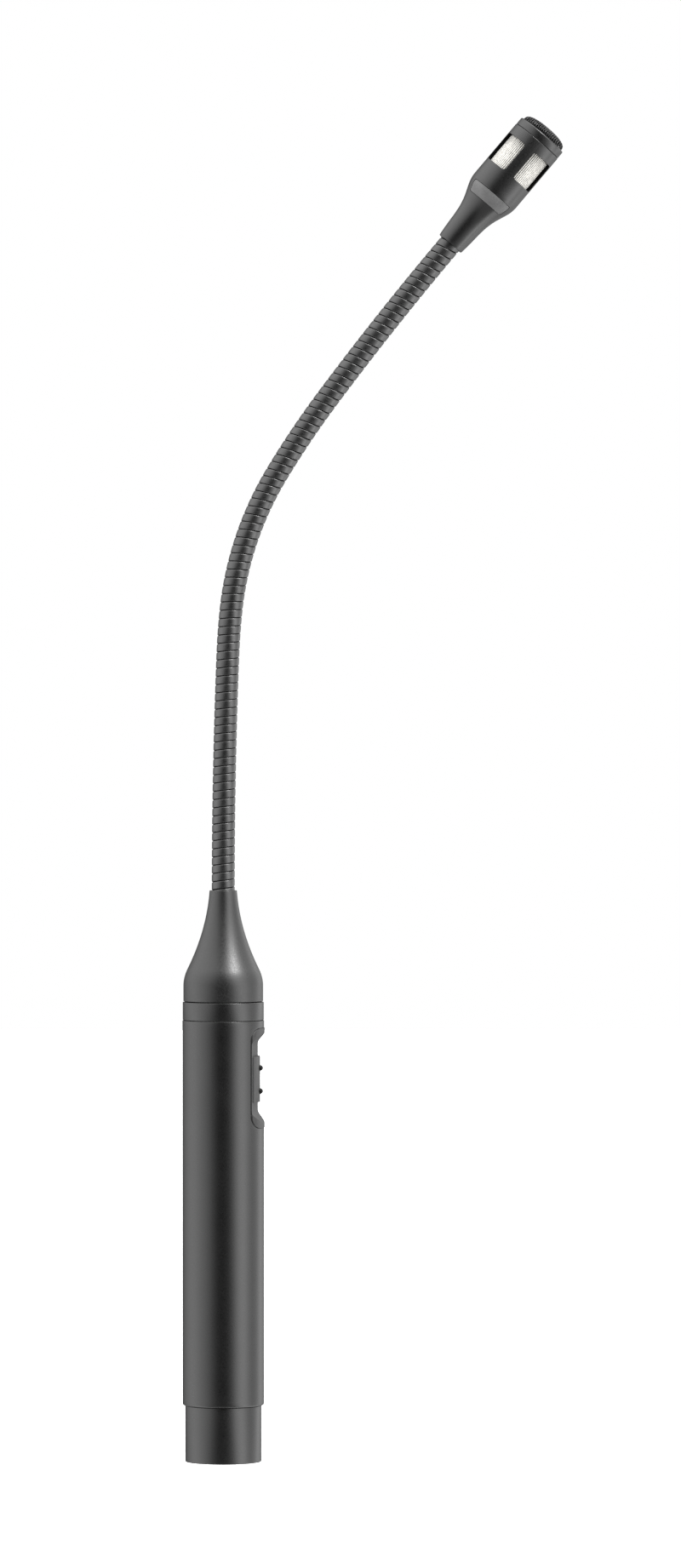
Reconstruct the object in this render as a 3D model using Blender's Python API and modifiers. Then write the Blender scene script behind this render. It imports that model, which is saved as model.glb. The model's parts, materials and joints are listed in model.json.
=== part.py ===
"""Gooseneck podium microphone that plugs straight into a three-pin panel socket.

Metres, +Z up.  The origin is the centre of the plug barrel's open end, and the body stands on the Z axis
above it.  The neck leans towards +X in the XZ plane, and the head is built in its own frame at the neck's
end, whose Z axis is the head's axis.
"""

import math

import bmesh
import bpy
from mathutils import Matrix, Vector

MM = 0.001
GAP = 0.3 * MM                      # clearance between neighbouring pieces
MERGE = 0.01 * MM
ROUND_STEPS = 40
SMALL_STEPS = 12

# Three-pin plug
BARREL_RADIUS = 9.5 * MM
BARREL_BORE = 8.15 * MM
BARREL_LENGTH = 13.75 * MM
SPIGOT_RADIUS = 8.6 * MM
SPIGOT_TOP = 20.0 * MM
INSERT_RADIUS = BARREL_BORE - GAP
INSERT_BOTTOM = 13.2 * MM
INSERT_TOP = 18.8 * MM
PIN_RADIUS = 1.2 * MM
PIN_CIRCLE = 3.9 * MM
PIN_ANGLES = (150.0, 30.0, 270.0)
PIN_TIP = 1.6 * MM
PIN_TAIL = 23.0 * MM
PLUG_SCREW_HEIGHT = 17.0 * MM
SET_SCREW_RADIUS = 0.95 * MM

# Body tube, identification ring and tapered cap
BODY_RADIUS = 10.13 * MM
BODY_BOTTOM = 14.05 * MM
BODY_TOP = 109.52 * MM
LOWER_BORE = SPIGOT_RADIUS + GAP
UPPER_BORE = 7.2 * MM
BORE_STEP = 79.0 * MM
RING_RADIUS = 10.06 * MM
RING_BOTTOM = 109.85 * MM
RING_TOP = 114.13 * MM
CONE_BOTTOM = 114.46 * MM
CONE_TOP = 141.9 * MM
CONE_TOP_RADIUS = 3.4 * MM
CONE_SLOPES = ((0.0, 0.07), (19.5, 0.4925), (23.6, 0.0))     # mm below the top, radius gained per length
CONE_CAVITY = 5.6 * MM
CONE_CAVITY_TOP = 127.3 * MM
CONE_SPIGOT_BOTTOM = 105.5 * MM
EDGE = 0.3 * MM

# Switch surround and the recess in it, in a frame that faces +X and is turned a little towards -Y
SURROUND_RADIUS = BODY_RADIUS + 0.15 * MM
SURROUND_INNER = UPPER_BORE + GAP
SURROUND_BOTTOM = 83.0 * MM
SURROUND_TOP = 107.9 * MM
SURROUND_HALF_WIDTH = 6.3 * MM
SURROUND_CORNER = 2.7 * MM
SWITCH_TURN = math.radians(-6.3)
RECESS_PLANE = 7.9 * MM
RECESS_BOTTOM = 87.3 * MM
RECESS_TOP = 103.6 * MM
RECESS_FILLET = 1.6 * MM
RECESS_RAMP = math.radians(45.0)
PLATE_RADIUS = 9.17 * MM
PLATE_SEAT = RECESS_PLANE + GAP
PLATE_BOTTOM = 89.45 * MM
PLATE_TOP = 100.8 * MM
PLATE_HALF_WIDTH = 3.55 * MM
LEVER_HEIGHTS = (97.87 * MM, 92.12 * MM)
LEVER_TRAVEL = 1.5 * MM
LEVER_HEAD = 0.75 * MM
LEVER_STEM = 0.55 * MM
LEVER_TOP = 9.94 * MM
LEVER_FOOT = 5.3 * MM
PLATE_SLOT_HALF_WIDTH = LEVER_HEAD + GAP
PLATE_STEPS = 8
DOME_STEPS = 4
SLOT_HALF_WIDTH = 0.8 * MM
SLOT_LENGTH = 3.0 * MM
SWITCH_BLOCK = (4.4 * MM, 6.6 * MM, 2.0 * MM, 3.95 * MM)     # inner and outer plane, half width, length
SWITCH_BLOCK_FLOOR = 5.0 * MM

# Electronics in the body
BOARD_INNER = 3.0 * MM
BOARD_OUTER = 4.0 * MM
BOARD_HALF_WIDTH = 4.6 * MM
BOARD_BOTTOM = 24.5 * MM
BOARD_TOP = 103.0 * MM
CARRIER_THICKNESS = 2.2 * MM
LOWER_CARRIER = 26.0 * MM
UPPER_CARRIER = 100.6 * MM
CABLE_HOLE = 1.4 * MM
CAPACITOR_RADIUS = 2.4 * MM
CAPACITOR_HEIGHTS = (52.0 * MM, 57.4 * MM, 62.8 * MM, 68.2 * MM)
CAPACITOR_LENGTH = 7.0 * MM
HEADER_TOP = 88.0 * MM
TRANSFORMER = ((-5.2 * MM, -4.6 * MM, 31.0 * MM), (BOARD_INNER - GAP, 4.6 * MM, 45.0 * MM))
AMPLIFIER_CHIP = ((BOARD_OUTER + GAP, -2.0 * MM, 66.0 * MM), (BOARD_OUTER + 1.8 * MM, 2.0 * MM, 71.0 * MM))
CABLE_HEADER = ((-2.4 * MM, -3.0 * MM, HEADER_TOP - 4.5 * MM), (BOARD_INNER - GAP, 3.0 * MM, HEADER_TOP))

# Neck: arc length in mm from the cap's top, and lean from the vertical in degrees, linear in between
NECK_LEANS = ((0.0, 0.0), (58.9, 2.3), (69.2, 5.8), (105.5, 31.1), (127.8, 36.7), (176.8, 40.2))
NECK_LENGTH = NECK_LEANS[-1][0] * MM
NECK_RADIUS = 2.85 * MM
NECK_BORE = 1.6 * MM
HINGE_COUNT = 8
LINK_CONE = math.radians(12.5)      # half of the wedge that a link may close at a hinge
CABLE_RADIUS = 0.9 * MM
CABLE_GAP = 0.35 * MM
NECK_STEPS = 14
CABLE_STEPS = 8
RING_SPACING = 7.5 * MM
NECK_FOOT = CONE_TOP - 119.0 * MM   # how far the casing reaches down inside the cap
CABLE_FOOT = CONE_TOP - HEADER_TOP - GAP
FERRULE_RADIUS = 5.3 * MM
FERRULE_BOTTOM = 118.5 * MM
FERRULE_TOP = CONE_CAVITY_TOP - GAP
FERRULE_SCREW_HEIGHT = 122.75 * MM
NECK_SLEEVE = NECK_RADIUS + GAP

# Head, along its own axis from where the neck enters it
HEAD_BASE_RADIUS = 3.48 * MM
HEAD_SLOPES = ((0.0, 0.12), (5.3, 0.055), (8.0, 0.12), (12.6, 0.40), (14.4, 0.39), (17.6, 0.0))
HOUSING_BOTTOM = 0.15 * MM
HOUSING_TOP = 33.15 * MM
HOUSING_BORE = 5.93 * MM
HEAD_FERRULE = (11.5 * MM, 15.3 * MM, 3.95 * MM)             # bottom, top, radius
HEAD_NECK_END = 15.0 * MM
HEAD_CABLE_END = 16.2 * MM
WINDOW_BOTTOM = 22.29 * MM
WINDOW_TOP = 30.56 * MM
WINDOW_HALF_ANGLE = math.radians(33.15)
WINDOW_COUNT = 4
SCREEN = (20.6 * MM, 32.4 * MM, 5.62 * MM, 5.1 * MM)         # bottom, top, outer and inner radius
PAD_BOTTOM = 13.2 * MM
PAD_TOP = 16.4 * MM
PAD_DEPTH = 0.6 * MM
PAD_HALF_ANGLE = math.radians(58.0)
PAD_THICKNESS = 0.28 * MM
CAPSULE = (19.6 * MM, 31.0 * MM, 4.7 * MM)                   # bottom, top, radius
CAPSULE_BOARD = (16.6 * MM, 17.6 * MM, 4.5 * MM)
REAR_GASKET = (18.0 * MM, 19.2 * MM, 5.6 * MM, 3.4 * MM)
FRONT_GASKET = (31.3 * MM, 32.2 * MM, 4.75 * MM, 3.2 * MM)
FRONT_RING_BOTTOM = 33.45 * MM
FRONT_RING_TOP = 35.46 * MM
FRONT_RING_RADIUS = 6.66 * MM
FRONT_RING_MOUTH = 6.2 * MM
FRONT_SEAT = 33.75 * MM
FRONT_SPIGOT_DEPTH = 0.65 * MM
FRONT_SPIGOT_WALL = 0.55 * MM
GRILLE_RADIUS = FRONT_RING_MOUTH - GAP
GRILLE_SHOULDER = 35.5 * MM
GRILLE_TOP = 37.68 * MM
GRILLE_WALL = 0.5 * MM
GRILLE_POWER = 2.6
FOAM = (32.6 * MM, 36.2 * MM, 4.75 * MM)

MODEL_NAME = "gooseneck_podium_microphone"
WORLDS = {}                         # world matrix of every frame, by its name


def clear_scene():
    for thing in list(bpy.data.objects):
        bpy.data.objects.remove(thing, do_unlink=True)


def make_collection(name):
    collection = bpy.data.collections.new(name)
    bpy.context.scene.collection.children.link(collection)
    return collection


def material(name, color, roughness, metallic):
    result = bpy.data.materials.new(name)
    result.use_nodes = True
    shader = result.node_tree.nodes["Principled BSDF"]
    shader.inputs["Base Color"].default_value = (*color, 1.0)
    shader.inputs["Roughness"].default_value = roughness
    shader.inputs["Metallic"].default_value = metallic
    result.diffuse_color = (*color, 1.0)
    return result


FINISHES = {
    "satin_black": ((0.045, 0.045, 0.047), 0.42, 0.7),
    "neck_black": ((0.04, 0.04, 0.042), 0.38, 0.8),
    "plate_grey": ((0.16, 0.16, 0.165), 0.55, 0.3),
    "screen_silver": ((0.85, 0.85, 0.82), 0.4, 0.6),
    "gloss_black": ((0.015, 0.015, 0.016), 0.15, 0.0),
    "insert_black": ((0.03, 0.03, 0.032), 0.5, 0.0),
    "pin_silver": ((0.75, 0.74, 0.70), 0.25, 1.0),
    "steel": ((0.55, 0.55, 0.56), 0.35, 1.0),
    "brass": ((0.75, 0.58, 0.28), 0.35, 1.0),
    "board_green": ((0.03, 0.16, 0.08), 0.5, 0.0),
    "white_nylon": ((0.8, 0.8, 0.78), 0.5, 0.0),
    "capacitor_blue": ((0.05, 0.1, 0.3), 0.35, 0.0),
    "cable_grey": ((0.2, 0.2, 0.2), 0.6, 0.0),
    "rubber": ((0.02, 0.02, 0.02), 0.8, 0.0),
    "foam": ((0.05, 0.05, 0.05), 0.95, 0.0),
}


clear_scene()
PARTS = make_collection(MODEL_NAME)
CUTTERS = make_collection("cutters")


def finish(piece, finish_name):
    """Gives the piece a material of its own in one of the finishes."""
    color, roughness, metallic = FINISHES[finish_name]
    piece.data.materials.clear()
    piece.data.materials.append(material(piece.name + "_" + finish_name, color, roughness, metallic))


def place(piece, finish_name=None, parent=None):
    """Links a piece to the model, or a cutter, which has no finish, to the cutters."""
    if finish_name is None:
        CUTTERS.objects.link(piece)
        piece.hide_render = True
        piece.display_type = "WIRE"
    else:
        PARTS.objects.link(piece)
        finish(piece, finish_name)
    piece.parent = parent
    return piece


def frame_empty(name, matrix, parent=None):
    empty = bpy.data.objects.new(name, None)
    empty.empty_display_size = 5 * MM
    PARTS.objects.link(empty)
    if parent is not None:
        empty.parent = parent
        empty.matrix_parent_inverse = world_of(parent).inverted()
    empty.matrix_basis = matrix
    WORLDS[name] = matrix
    return empty


def world_of(empty):
    return WORLDS[empty.name]


def from_bmesh(name, shape):
    bmesh.ops.recalc_face_normals(shape, faces=shape.faces)
    mesh = bpy.data.meshes.new(name)
    shape.to_mesh(mesh)
    shape.free()
    mesh.shade_smooth()
    mesh.set_sharp_from_angle(angle=math.radians(35.0))
    return bpy.data.objects.new(name, mesh)


def turned(name, profile, finish_name=None, parent=None, steps=ROUND_STEPS, closed=True):
    """Turns a profile of (radius, height) points about Z: down the outer side, then up the inner one."""
    mesh = bpy.data.meshes.new(name)
    edges = [(i, i + 1) for i in range(len(profile) - 1)]
    if closed:
        edges.append((len(profile) - 1, 0))
    mesh.from_pydata([(radius, 0.0, height) for radius, height in profile], edges, [])
    piece = bpy.data.objects.new(name, mesh)
    screw = piece.modifiers.new("turn", "SCREW")
    screw.steps = steps
    screw.render_steps = steps
    screw.use_merge_vertices = True
    screw.merge_threshold = MERGE
    screw.use_smooth_shade = True
    return place(piece, finish_name, parent)


def rod(name, radius, bottom, top, finish_name=None, parent=None, steps=SMALL_STEPS, edge=0.0):
    """A solid round piece about Z, with its two rims chamfered by edge."""
    profile = [(0.0, top), (radius - edge, top), (radius, top - edge),
               (radius, bottom + edge), (radius - edge, bottom), (0.0, bottom)]
    if edge == 0.0:
        profile = [(0.0, top), (radius, top), (radius, bottom), (0.0, bottom)]
    return turned(name, profile, finish_name, parent, steps, closed=False)


def ring(name, outer, inner, bottom, top, finish_name, parent=None, steps=ROUND_STEPS):
    profile = [(outer, top), (outer, bottom), (inner, bottom), (inner, top)]
    return turned(name, profile, finish_name, parent, steps)


def box(name, low, high, finish_name=None, parent=None, edge=0.0):
    """A block between two corners, with its edges bevelled by edge."""
    shape = bmesh.new()
    bmesh.ops.create_cube(shape, size=1.0)
    size = [b - a for a, b in zip(low, high)]
    bmesh.ops.scale(shape, vec=size, verts=shape.verts)
    piece = from_bmesh(name, shape)
    piece.location = [(a + b) / 2 for a, b in zip(low, high)]
    if edge:
        bevel = piece.modifiers.new("edges", "BEVEL")
        bevel.width = edge
        bevel.segments = 1
    return place(piece, finish_name, parent)


def flat(name, outlines, thickness, finish_name=None, parent=None):
    """A flat piece in the XY plane: the first outline is its edge, the others are holes in it."""
    curve = bpy.data.curves.new(name, "CURVE")
    curve.dimensions = "2D"
    curve.fill_mode = "BOTH"
    curve.extrude = thickness / 2
    for outline in outlines:
        spline = curve.splines.new("POLY")
        spline.points.add(len(outline) - 1)
        for point, (x, y) in zip(spline.points, outline):
            point.co = (x, y, 0.0, 1.0)
        spline.use_cyclic_u = True
    return place(bpy.data.objects.new(name, curve), finish_name, parent)


def solid_of(outline, name):
    """Replaces a flat piece by a mesh object in its place, so that it can be cut or can cut."""
    bpy.context.view_layer.update()
    mesh = bpy.data.meshes.new_from_object(outline.evaluated_get(bpy.context.evaluated_depsgraph_get()))
    shape = bmesh.new()
    shape.from_mesh(mesh)
    bmesh.ops.remove_doubles(shape, verts=shape.verts, dist=MERGE)
    bmesh.ops.recalc_face_normals(shape, faces=shape.faces)
    shape.to_mesh(mesh)
    shape.free()
    solid = bpy.data.objects.new(name, mesh)
    solid.matrix_world = outline.matrix_world
    bpy.data.objects.remove(outline)
    return solid


def circle(radius, steps, centre=(0.0, 0.0)):
    turns = [2 * math.pi * i / steps for i in range(steps)]
    return [(centre[0] + radius * math.cos(t), centre[1] + radius * math.sin(t)) for t in turns]


def rectangle(half_x, half_y, centre=(0.0, 0.0), corner=0.0, steps=3):
    """A rectangle's outline, with its corners rounded when corner is given."""
    points = []
    for quarter, (side_x, side_y) in enumerate(((1, 1), (-1, 1), (-1, -1), (1, -1))):
        middle_x = centre[0] + side_x * (half_x - corner)
        middle_y = centre[1] + side_y * (half_y - corner)
        if corner == 0.0:
            points.append((middle_x, middle_y))
            continue
        for step in range(steps + 1):
            turn = math.pi / 2 * (quarter + step / steps)
            points.append((middle_x + corner * math.cos(turn), middle_y + corner * math.sin(turn)))
    return points


def sector(name, profile, facing, half_angle, steps, finish_name=None, parent=None):
    """Part of a turned piece: its closed profile swept about Z to both sides of the facing angle."""
    shape = bmesh.new()
    corners = [shape.verts.new((radius, 0.0, height)) for radius, height in profile]
    face = shape.faces.new(corners)
    bmesh.ops.rotate(shape, verts=shape.verts, matrix=Matrix.Rotation(facing - half_angle, 3, "Z"))
    bmesh.ops.spin(shape, geom=[face], cent=(0, 0, 0), axis=(0, 0, 1), dvec=(0, 0, 0),
                   angle=2 * half_angle, steps=steps, use_duplicate=False)
    return place(from_bmesh(name, shape), finish_name, parent)


def cut(piece, cutter, operation="DIFFERENCE"):
    boolean = piece.modifiers.new("cut_" + cutter.name, "BOOLEAN")
    boolean.operation = operation
    boolean.solver = "EXACT"
    boolean.object = cutter


def flare(start_radius, slopes, steps_per_stretch=3):
    """Points (length, radius) of a turned surface whose slope runs linearly between its stations."""
    points = [(slopes[0][0] * MM, start_radius)]
    for (near, near_slope), (far, far_slope) in zip(slopes, slopes[1:]):
        stretch = (far - near) * MM
        begin, radius = points[-1]
        for step in range(1, steps_per_stretch + 1):
            share = step / steps_per_stretch
            gained = stretch * share * (near_slope + (far_slope - near_slope) * share / 2)
            points.append((begin + stretch * share, radius + gained))
    return points


def neck_frame(length):
    """The neck's frame at an arc length: its Z axis runs along the neck, and its Y axis is world Y."""
    x = 0.0
    z = CONE_TOP
    lean = math.radians(NECK_LEANS[0][1])
    if length < 0.0:
        return Matrix.Translation((0.0, 0.0, CONE_TOP + length))
    for (near, near_lean), (far, far_lean) in zip(NECK_LEANS, NECK_LEANS[1:]):
        stretch = min(length, far * MM) - near * MM
        if stretch <= 0.0:
            break
        bend = math.radians(far_lean - near_lean) / ((far - near) * MM)
        start = math.radians(near_lean)
        lean = start + bend * stretch
        x += (math.cos(start) - math.cos(lean)) / bend
        z += (math.sin(lean) - math.sin(start)) / bend
    beyond = max(0.0, length - NECK_LENGTH)
    x += beyond * math.sin(lean)
    z += beyond * math.cos(lean)
    return Matrix.Translation((x, 0.0, z)) @ Matrix.Rotation(lean, 4, "Y")


def hinge_length(index):
    """Arc length of a hinge, counted from 0 at the cap's end."""
    return NECK_LENGTH * (index + 0.5) / HINGE_COUNT


def neck_ring(shape, length, radius, steps):
    matrix = neck_frame(length)
    return [shape.verts.new(matrix @ Vector((x, y, 0.0))) for x, y in circle(radius, steps)]


def join_rings(shape, first, second):
    for i in range(len(first)):
        j = (i + 1) % len(first)
        shape.faces.new((first[i], first[j], second[j], second[i]))


def spaced(start, end):
    count = max(1, math.ceil((end - start) / RING_SPACING))
    return [start + (end - start) * i / count for i in range(count + 1)]


def neck_casing(name, start, end, cone_start, cone_end, parent):
    """A hollow length of neck along its centreline.  An end at a hinge is coned back from the pivot."""
    shape = bmesh.new()
    wedge = math.tan(LINK_CONE)
    rings = []
    for radius, reverse in ((NECK_RADIUS, False), (NECK_BORE, True)):
        low = start + (radius * wedge if cone_start else 0.0)
        high = end - (radius * wedge if cone_end else 0.0)
        row = [neck_ring(shape, length, radius, NECK_STEPS) for length in spaced(low, high)]
        rings += reversed(row) if reverse else row
    for first, second in zip(rings, rings[1:] + rings[:1]):
        join_rings(shape, first, second)
    return adopt(place(from_bmesh(name, shape), "neck_black"), parent)


def neck_cable(name, start, end, parent):
    shape = bmesh.new()
    rings = [neck_ring(shape, length, CABLE_RADIUS, CABLE_STEPS) for length in spaced(start, end)]
    for first, second in zip(rings, rings[1:]):
        join_rings(shape, first, second)
    shape.faces.new(rings[0])
    shape.faces.new(rings[-1])
    return adopt(place(from_bmesh(name, shape), "cable_grey"), parent)


def adopt(piece, parent):
    """Parents a piece that is modelled in world coordinates without moving it."""
    if parent is not None:
        piece.parent = parent
        piece.matrix_parent_inverse = world_of(parent).inverted()
    return piece


def build_plug():
    shell = turned("plug_shell", [
        (SPIGOT_RADIUS, SPIGOT_TOP), (SPIGOT_RADIUS, BARREL_LENGTH), (BARREL_RADIUS, BARREL_LENGTH),
        (BARREL_RADIUS, EDGE), (BARREL_RADIUS - EDGE, 0.0), (BARREL_BORE + EDGE, 0.0),
        (BARREL_BORE, EDGE), (BARREL_BORE, SPIGOT_TOP)], "satin_black")
    pin_places = [(PIN_CIRCLE * math.cos(math.radians(a)), PIN_CIRCLE * math.sin(math.radians(a)))
                  for a in PIN_ANGLES]
    holes = [circle(PIN_RADIUS + GAP, SMALL_STEPS, centre) for centre in pin_places]
    insert = flat("plug_insert", [circle(INSERT_RADIUS, ROUND_STEPS)] + holes,
                  INSERT_TOP - INSERT_BOTTOM, "insert_black")
    insert.location.z = (INSERT_TOP + INSERT_BOTTOM) / 2
    for number, (x, y) in enumerate(pin_places, 1):
        pin = turned("plug_pin_%d" % number, [
            (0.0, PIN_TAIL), (PIN_RADIUS, PIN_TAIL), (PIN_RADIUS, PIN_TIP + 0.8 * MM),
            (PIN_RADIUS * 0.7, PIN_TIP + 0.2 * MM), (0.0, PIN_TIP)], "pin_silver", None, SMALL_STEPS, False)
        pin.location = (x, y, 0.0)
    return shell


def radial_rod(name, radius, inner, outer, height, finish_name=None, edge=0.0):
    """A round piece that points along +Y at a height."""
    piece = rod(name, radius, inner, outer, finish_name, edge=edge)
    piece.rotation_euler = (-math.pi / 2, 0.0, 0.0)
    piece.location = (0.0, 0.0, height)
    return piece


def recess_outline():
    """The recess seen from the side, as (distance from the body's axis, height)."""
    clear_plane = BODY_RADIUS + 2.0 * MM
    points = []
    for end, sign in ((RECESS_BOTTOM, -1), (RECESS_TOP, 1)):
        arc = []
        for step in range(4):
            turn = RECESS_RAMP * step / 3
            out = RECESS_PLANE + RECESS_FILLET * (1 - math.cos(turn))
            arc.append((out, end + sign * RECESS_FILLET * math.sin(turn)))
        out, height = arc[-1]
        arc.append((clear_plane, height + sign * (clear_plane - out) * math.tan(math.pi / 2 - RECESS_RAMP)))
        points += arc if sign > 0 else list(reversed(arc))
    return points


def outward_prism(name, growth, finish_name, switch_frame):
    """A block with the surround's outline, grown all round, from inside the body to outside it."""
    half_length = (SURROUND_TOP - SURROUND_BOTTOM) / 2 + growth
    edge = rectangle(half_length, SURROUND_HALF_WIDTH + growth, corner=SURROUND_CORNER + growth, steps=5)
    inner, outer = BODY_RADIUS / 3, BODY_RADIUS + 1.0 * MM
    outline = flat(name + "_outline", [edge], outer - inner, "satin_black")
    outline.rotation_euler = (0.0, -math.pi / 2, 0.0)
    outline.location = ((inner + outer) / 2, 0.0, (SURROUND_BOTTOM + SURROUND_TOP) / 2)
    return place(solid_of(outline, name), finish_name, switch_frame)


def build_body(shell, switch_frame):
    tube = turned("body_tube", [
        (BODY_RADIUS - EDGE, BODY_TOP), (BODY_RADIUS, BODY_TOP - EDGE),
        (BODY_RADIUS, BODY_BOTTOM + 0.5 * MM), (BODY_RADIUS - 0.5 * MM, BODY_BOTTOM),
        (LOWER_BORE, BODY_BOTTOM), (LOWER_BORE, BORE_STEP),
        (UPPER_BORE, BORE_STEP + LOWER_BORE - UPPER_BORE), (UPPER_BORE, BODY_TOP)], "satin_black")

    cut(tube, outward_prism("surround_opening_cutter", GAP / 2, None, switch_frame))
    surround = outward_prism("switch_surround", -GAP / 2, "plate_grey", switch_frame)
    shape = turned("surround_shape_cutter", [
        (SURROUND_RADIUS, SURROUND_TOP), (SURROUND_RADIUS, SURROUND_BOTTOM),
        (SURROUND_INNER, SURROUND_BOTTOM), (SURROUND_INNER, SURROUND_TOP)])
    cut(surround, shape, "INTERSECT")
    outline = flat("recess_outline", [recess_outline()], 4 * BODY_RADIUS, "satin_black")
    outline.rotation_euler = (math.pi / 2, 0.0, 0.0)
    recess = place(solid_of(outline, "recess_cutter"), None, switch_frame)
    cut(surround, recess)
    for number, height in enumerate(LEVER_HEIGHTS):
        middle = slot_middle(number, height)
        slot = box("floor_slot_cutter_%d" % number,
                   (UPPER_BORE - 1.5 * MM, -SLOT_HALF_WIDTH, middle - SLOT_LENGTH / 2),
                   (RECESS_PLANE + 1.0 * MM, SLOT_HALF_WIDTH, middle + SLOT_LENGTH / 2), None, switch_frame)
        cut(surround, slot)

    hole = radial_rod("plug_screw_cutter", SET_SCREW_RADIUS + GAP, BARREL_BORE - 0.5 * MM,
                      BODY_RADIUS + 1.0 * MM, PLUG_SCREW_HEIGHT)
    cut(tube, hole)
    cut(shell, hole)
    radial_rod("plug_set_screw", SET_SCREW_RADIUS, BARREL_BORE, BODY_RADIUS - 0.4 * MM,
               PLUG_SCREW_HEIGHT, "steel")

    turned("identification_ring", [
        (RING_RADIUS - EDGE / 2, RING_TOP), (RING_RADIUS, RING_TOP - EDGE / 2),
        (RING_RADIUS, RING_BOTTOM + EDGE / 2), (RING_RADIUS - EDGE / 2, RING_BOTTOM),
        (UPPER_BORE, RING_BOTTOM), (UPPER_BORE, RING_TOP)], "satin_black")

    spigot = UPPER_BORE - GAP
    outside = [(radius, CONE_TOP - length) for length, radius in flare(CONE_TOP_RADIUS, CONE_SLOPES)]
    turned("tapered_cap", outside + [
        (outside[-1][0], CONE_BOTTOM + EDGE), (outside[-1][0] - EDGE, CONE_BOTTOM),
        (spigot, CONE_BOTTOM), (spigot, CONE_SPIGOT_BOTTOM), (CONE_CAVITY, CONE_SPIGOT_BOTTOM),
        (CONE_CAVITY, CONE_CAVITY_TOP), (NECK_SLEEVE, CONE_CAVITY_TOP), (NECK_SLEEVE, CONE_TOP)],
        "satin_black")

    ferrule = ring("neck_ferrule", FERRULE_RADIUS, NECK_SLEEVE, FERRULE_BOTTOM, FERRULE_TOP, "brass")
    ferrule_hole = radial_rod("ferrule_screw_cutter", SET_SCREW_RADIUS + GAP, NECK_RADIUS,
                              FERRULE_RADIUS + 1.0 * MM, FERRULE_SCREW_HEIGHT)
    cut(ferrule, ferrule_hole)
    radial_rod("neck_set_screw", SET_SCREW_RADIUS, NECK_SLEEVE, FERRULE_RADIUS,
               FERRULE_SCREW_HEIGHT, "steel")


def slot_middle(number, height):
    """Middle of a lever's travel: the upper lever moves down and the lower one up, to the plate's middle."""
    return height + (-LEVER_TRAVEL if number == 0 else LEVER_TRAVEL) / 2


def outward_slot(name, middle, switch_frame):
    """A round-ended slot's cutter, through the plate, as long as a lever's head travels."""
    steps = range(SMALL_STEPS // 2 + 1)
    turns = [math.pi * step / steps[-1] for step in steps]
    straight = LEVER_TRAVEL / 2
    edge = [(straight + PLATE_SLOT_HALF_WIDTH * math.sin(t), PLATE_SLOT_HALF_WIDTH * math.cos(t)) for t in turns]
    edge += [(-x, -y) for x, y in edge]
    outline = flat(name + "_outline", [edge], 4.0 * MM, "satin_black")
    outline.rotation_euler = (0.0, -math.pi / 2, 0.0)
    outline.location = (PLATE_RADIUS, 0.0, middle)
    return place(solid_of(outline, name), None, switch_frame)


def build_switches(switch_frame):
    reach = math.asin(PLATE_HALF_WIDTH / PLATE_RADIUS)
    turns = [reach * (2 * step / PLATE_STEPS - 1) for step in range(PLATE_STEPS + 1)]
    edge = [(PLATE_RADIUS * math.cos(t), PLATE_RADIUS * math.sin(t)) for t in turns]
    outline = flat("plate_outline", [[(PLATE_SEAT, -PLATE_HALF_WIDTH)] + edge + [(PLATE_SEAT, PLATE_HALF_WIDTH)]],
                   PLATE_TOP - PLATE_BOTTOM, "satin_black")
    outline.location.z = (PLATE_BOTTOM + PLATE_TOP) / 2
    plate = place(solid_of(outline, "switch_plate"), "plate_grey", switch_frame)
    for number, height in enumerate(LEVER_HEIGHTS):
        slot = outward_slot("plate_slot_cutter_%d" % number, slot_middle(number, height), switch_frame)
        cut(plate, slot)

    inner, outer, half_width, length = SWITCH_BLOCK
    for number, (height, word) in enumerate(zip(LEVER_HEIGHTS, ("upper", "lower"))):
        centre = slot_middle(number, height)
        block = box(word + "_switch_block", (inner, -half_width, centre - length / 2),
                    (outer, half_width, centre + length / 2), "insert_black", switch_frame)
        well = box(word + "_switch_well_cutter",
                   (SWITCH_BLOCK_FLOOR, -SLOT_HALF_WIDTH, centre - SLOT_LENGTH / 2),
                   (outer + 1.0 * MM, SLOT_HALF_WIDTH, centre + SLOT_LENGTH / 2), None, switch_frame)
        cut(block, well)

        dome = [(LEVER_HEAD * math.sin(t), LEVER_TOP - LEVER_HEAD * (1 - math.cos(t)))
                for t in [math.pi / 2 * i / DOME_STEPS for i in range(DOME_STEPS + 1)]]
        lever = turned(word + "_switch_lever", dome + [
            (LEVER_HEAD, PLATE_SEAT), (LEVER_STEM, PLATE_SEAT), (LEVER_STEM, LEVER_FOOT), (0.0, LEVER_FOOT)],
            "gloss_black", switch_frame, SMALL_STEPS, False)
        lever.rotation_euler = (0.0, math.pi / 2, 0.0)
        lever.location = (0.0, 0.0, height)


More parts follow.
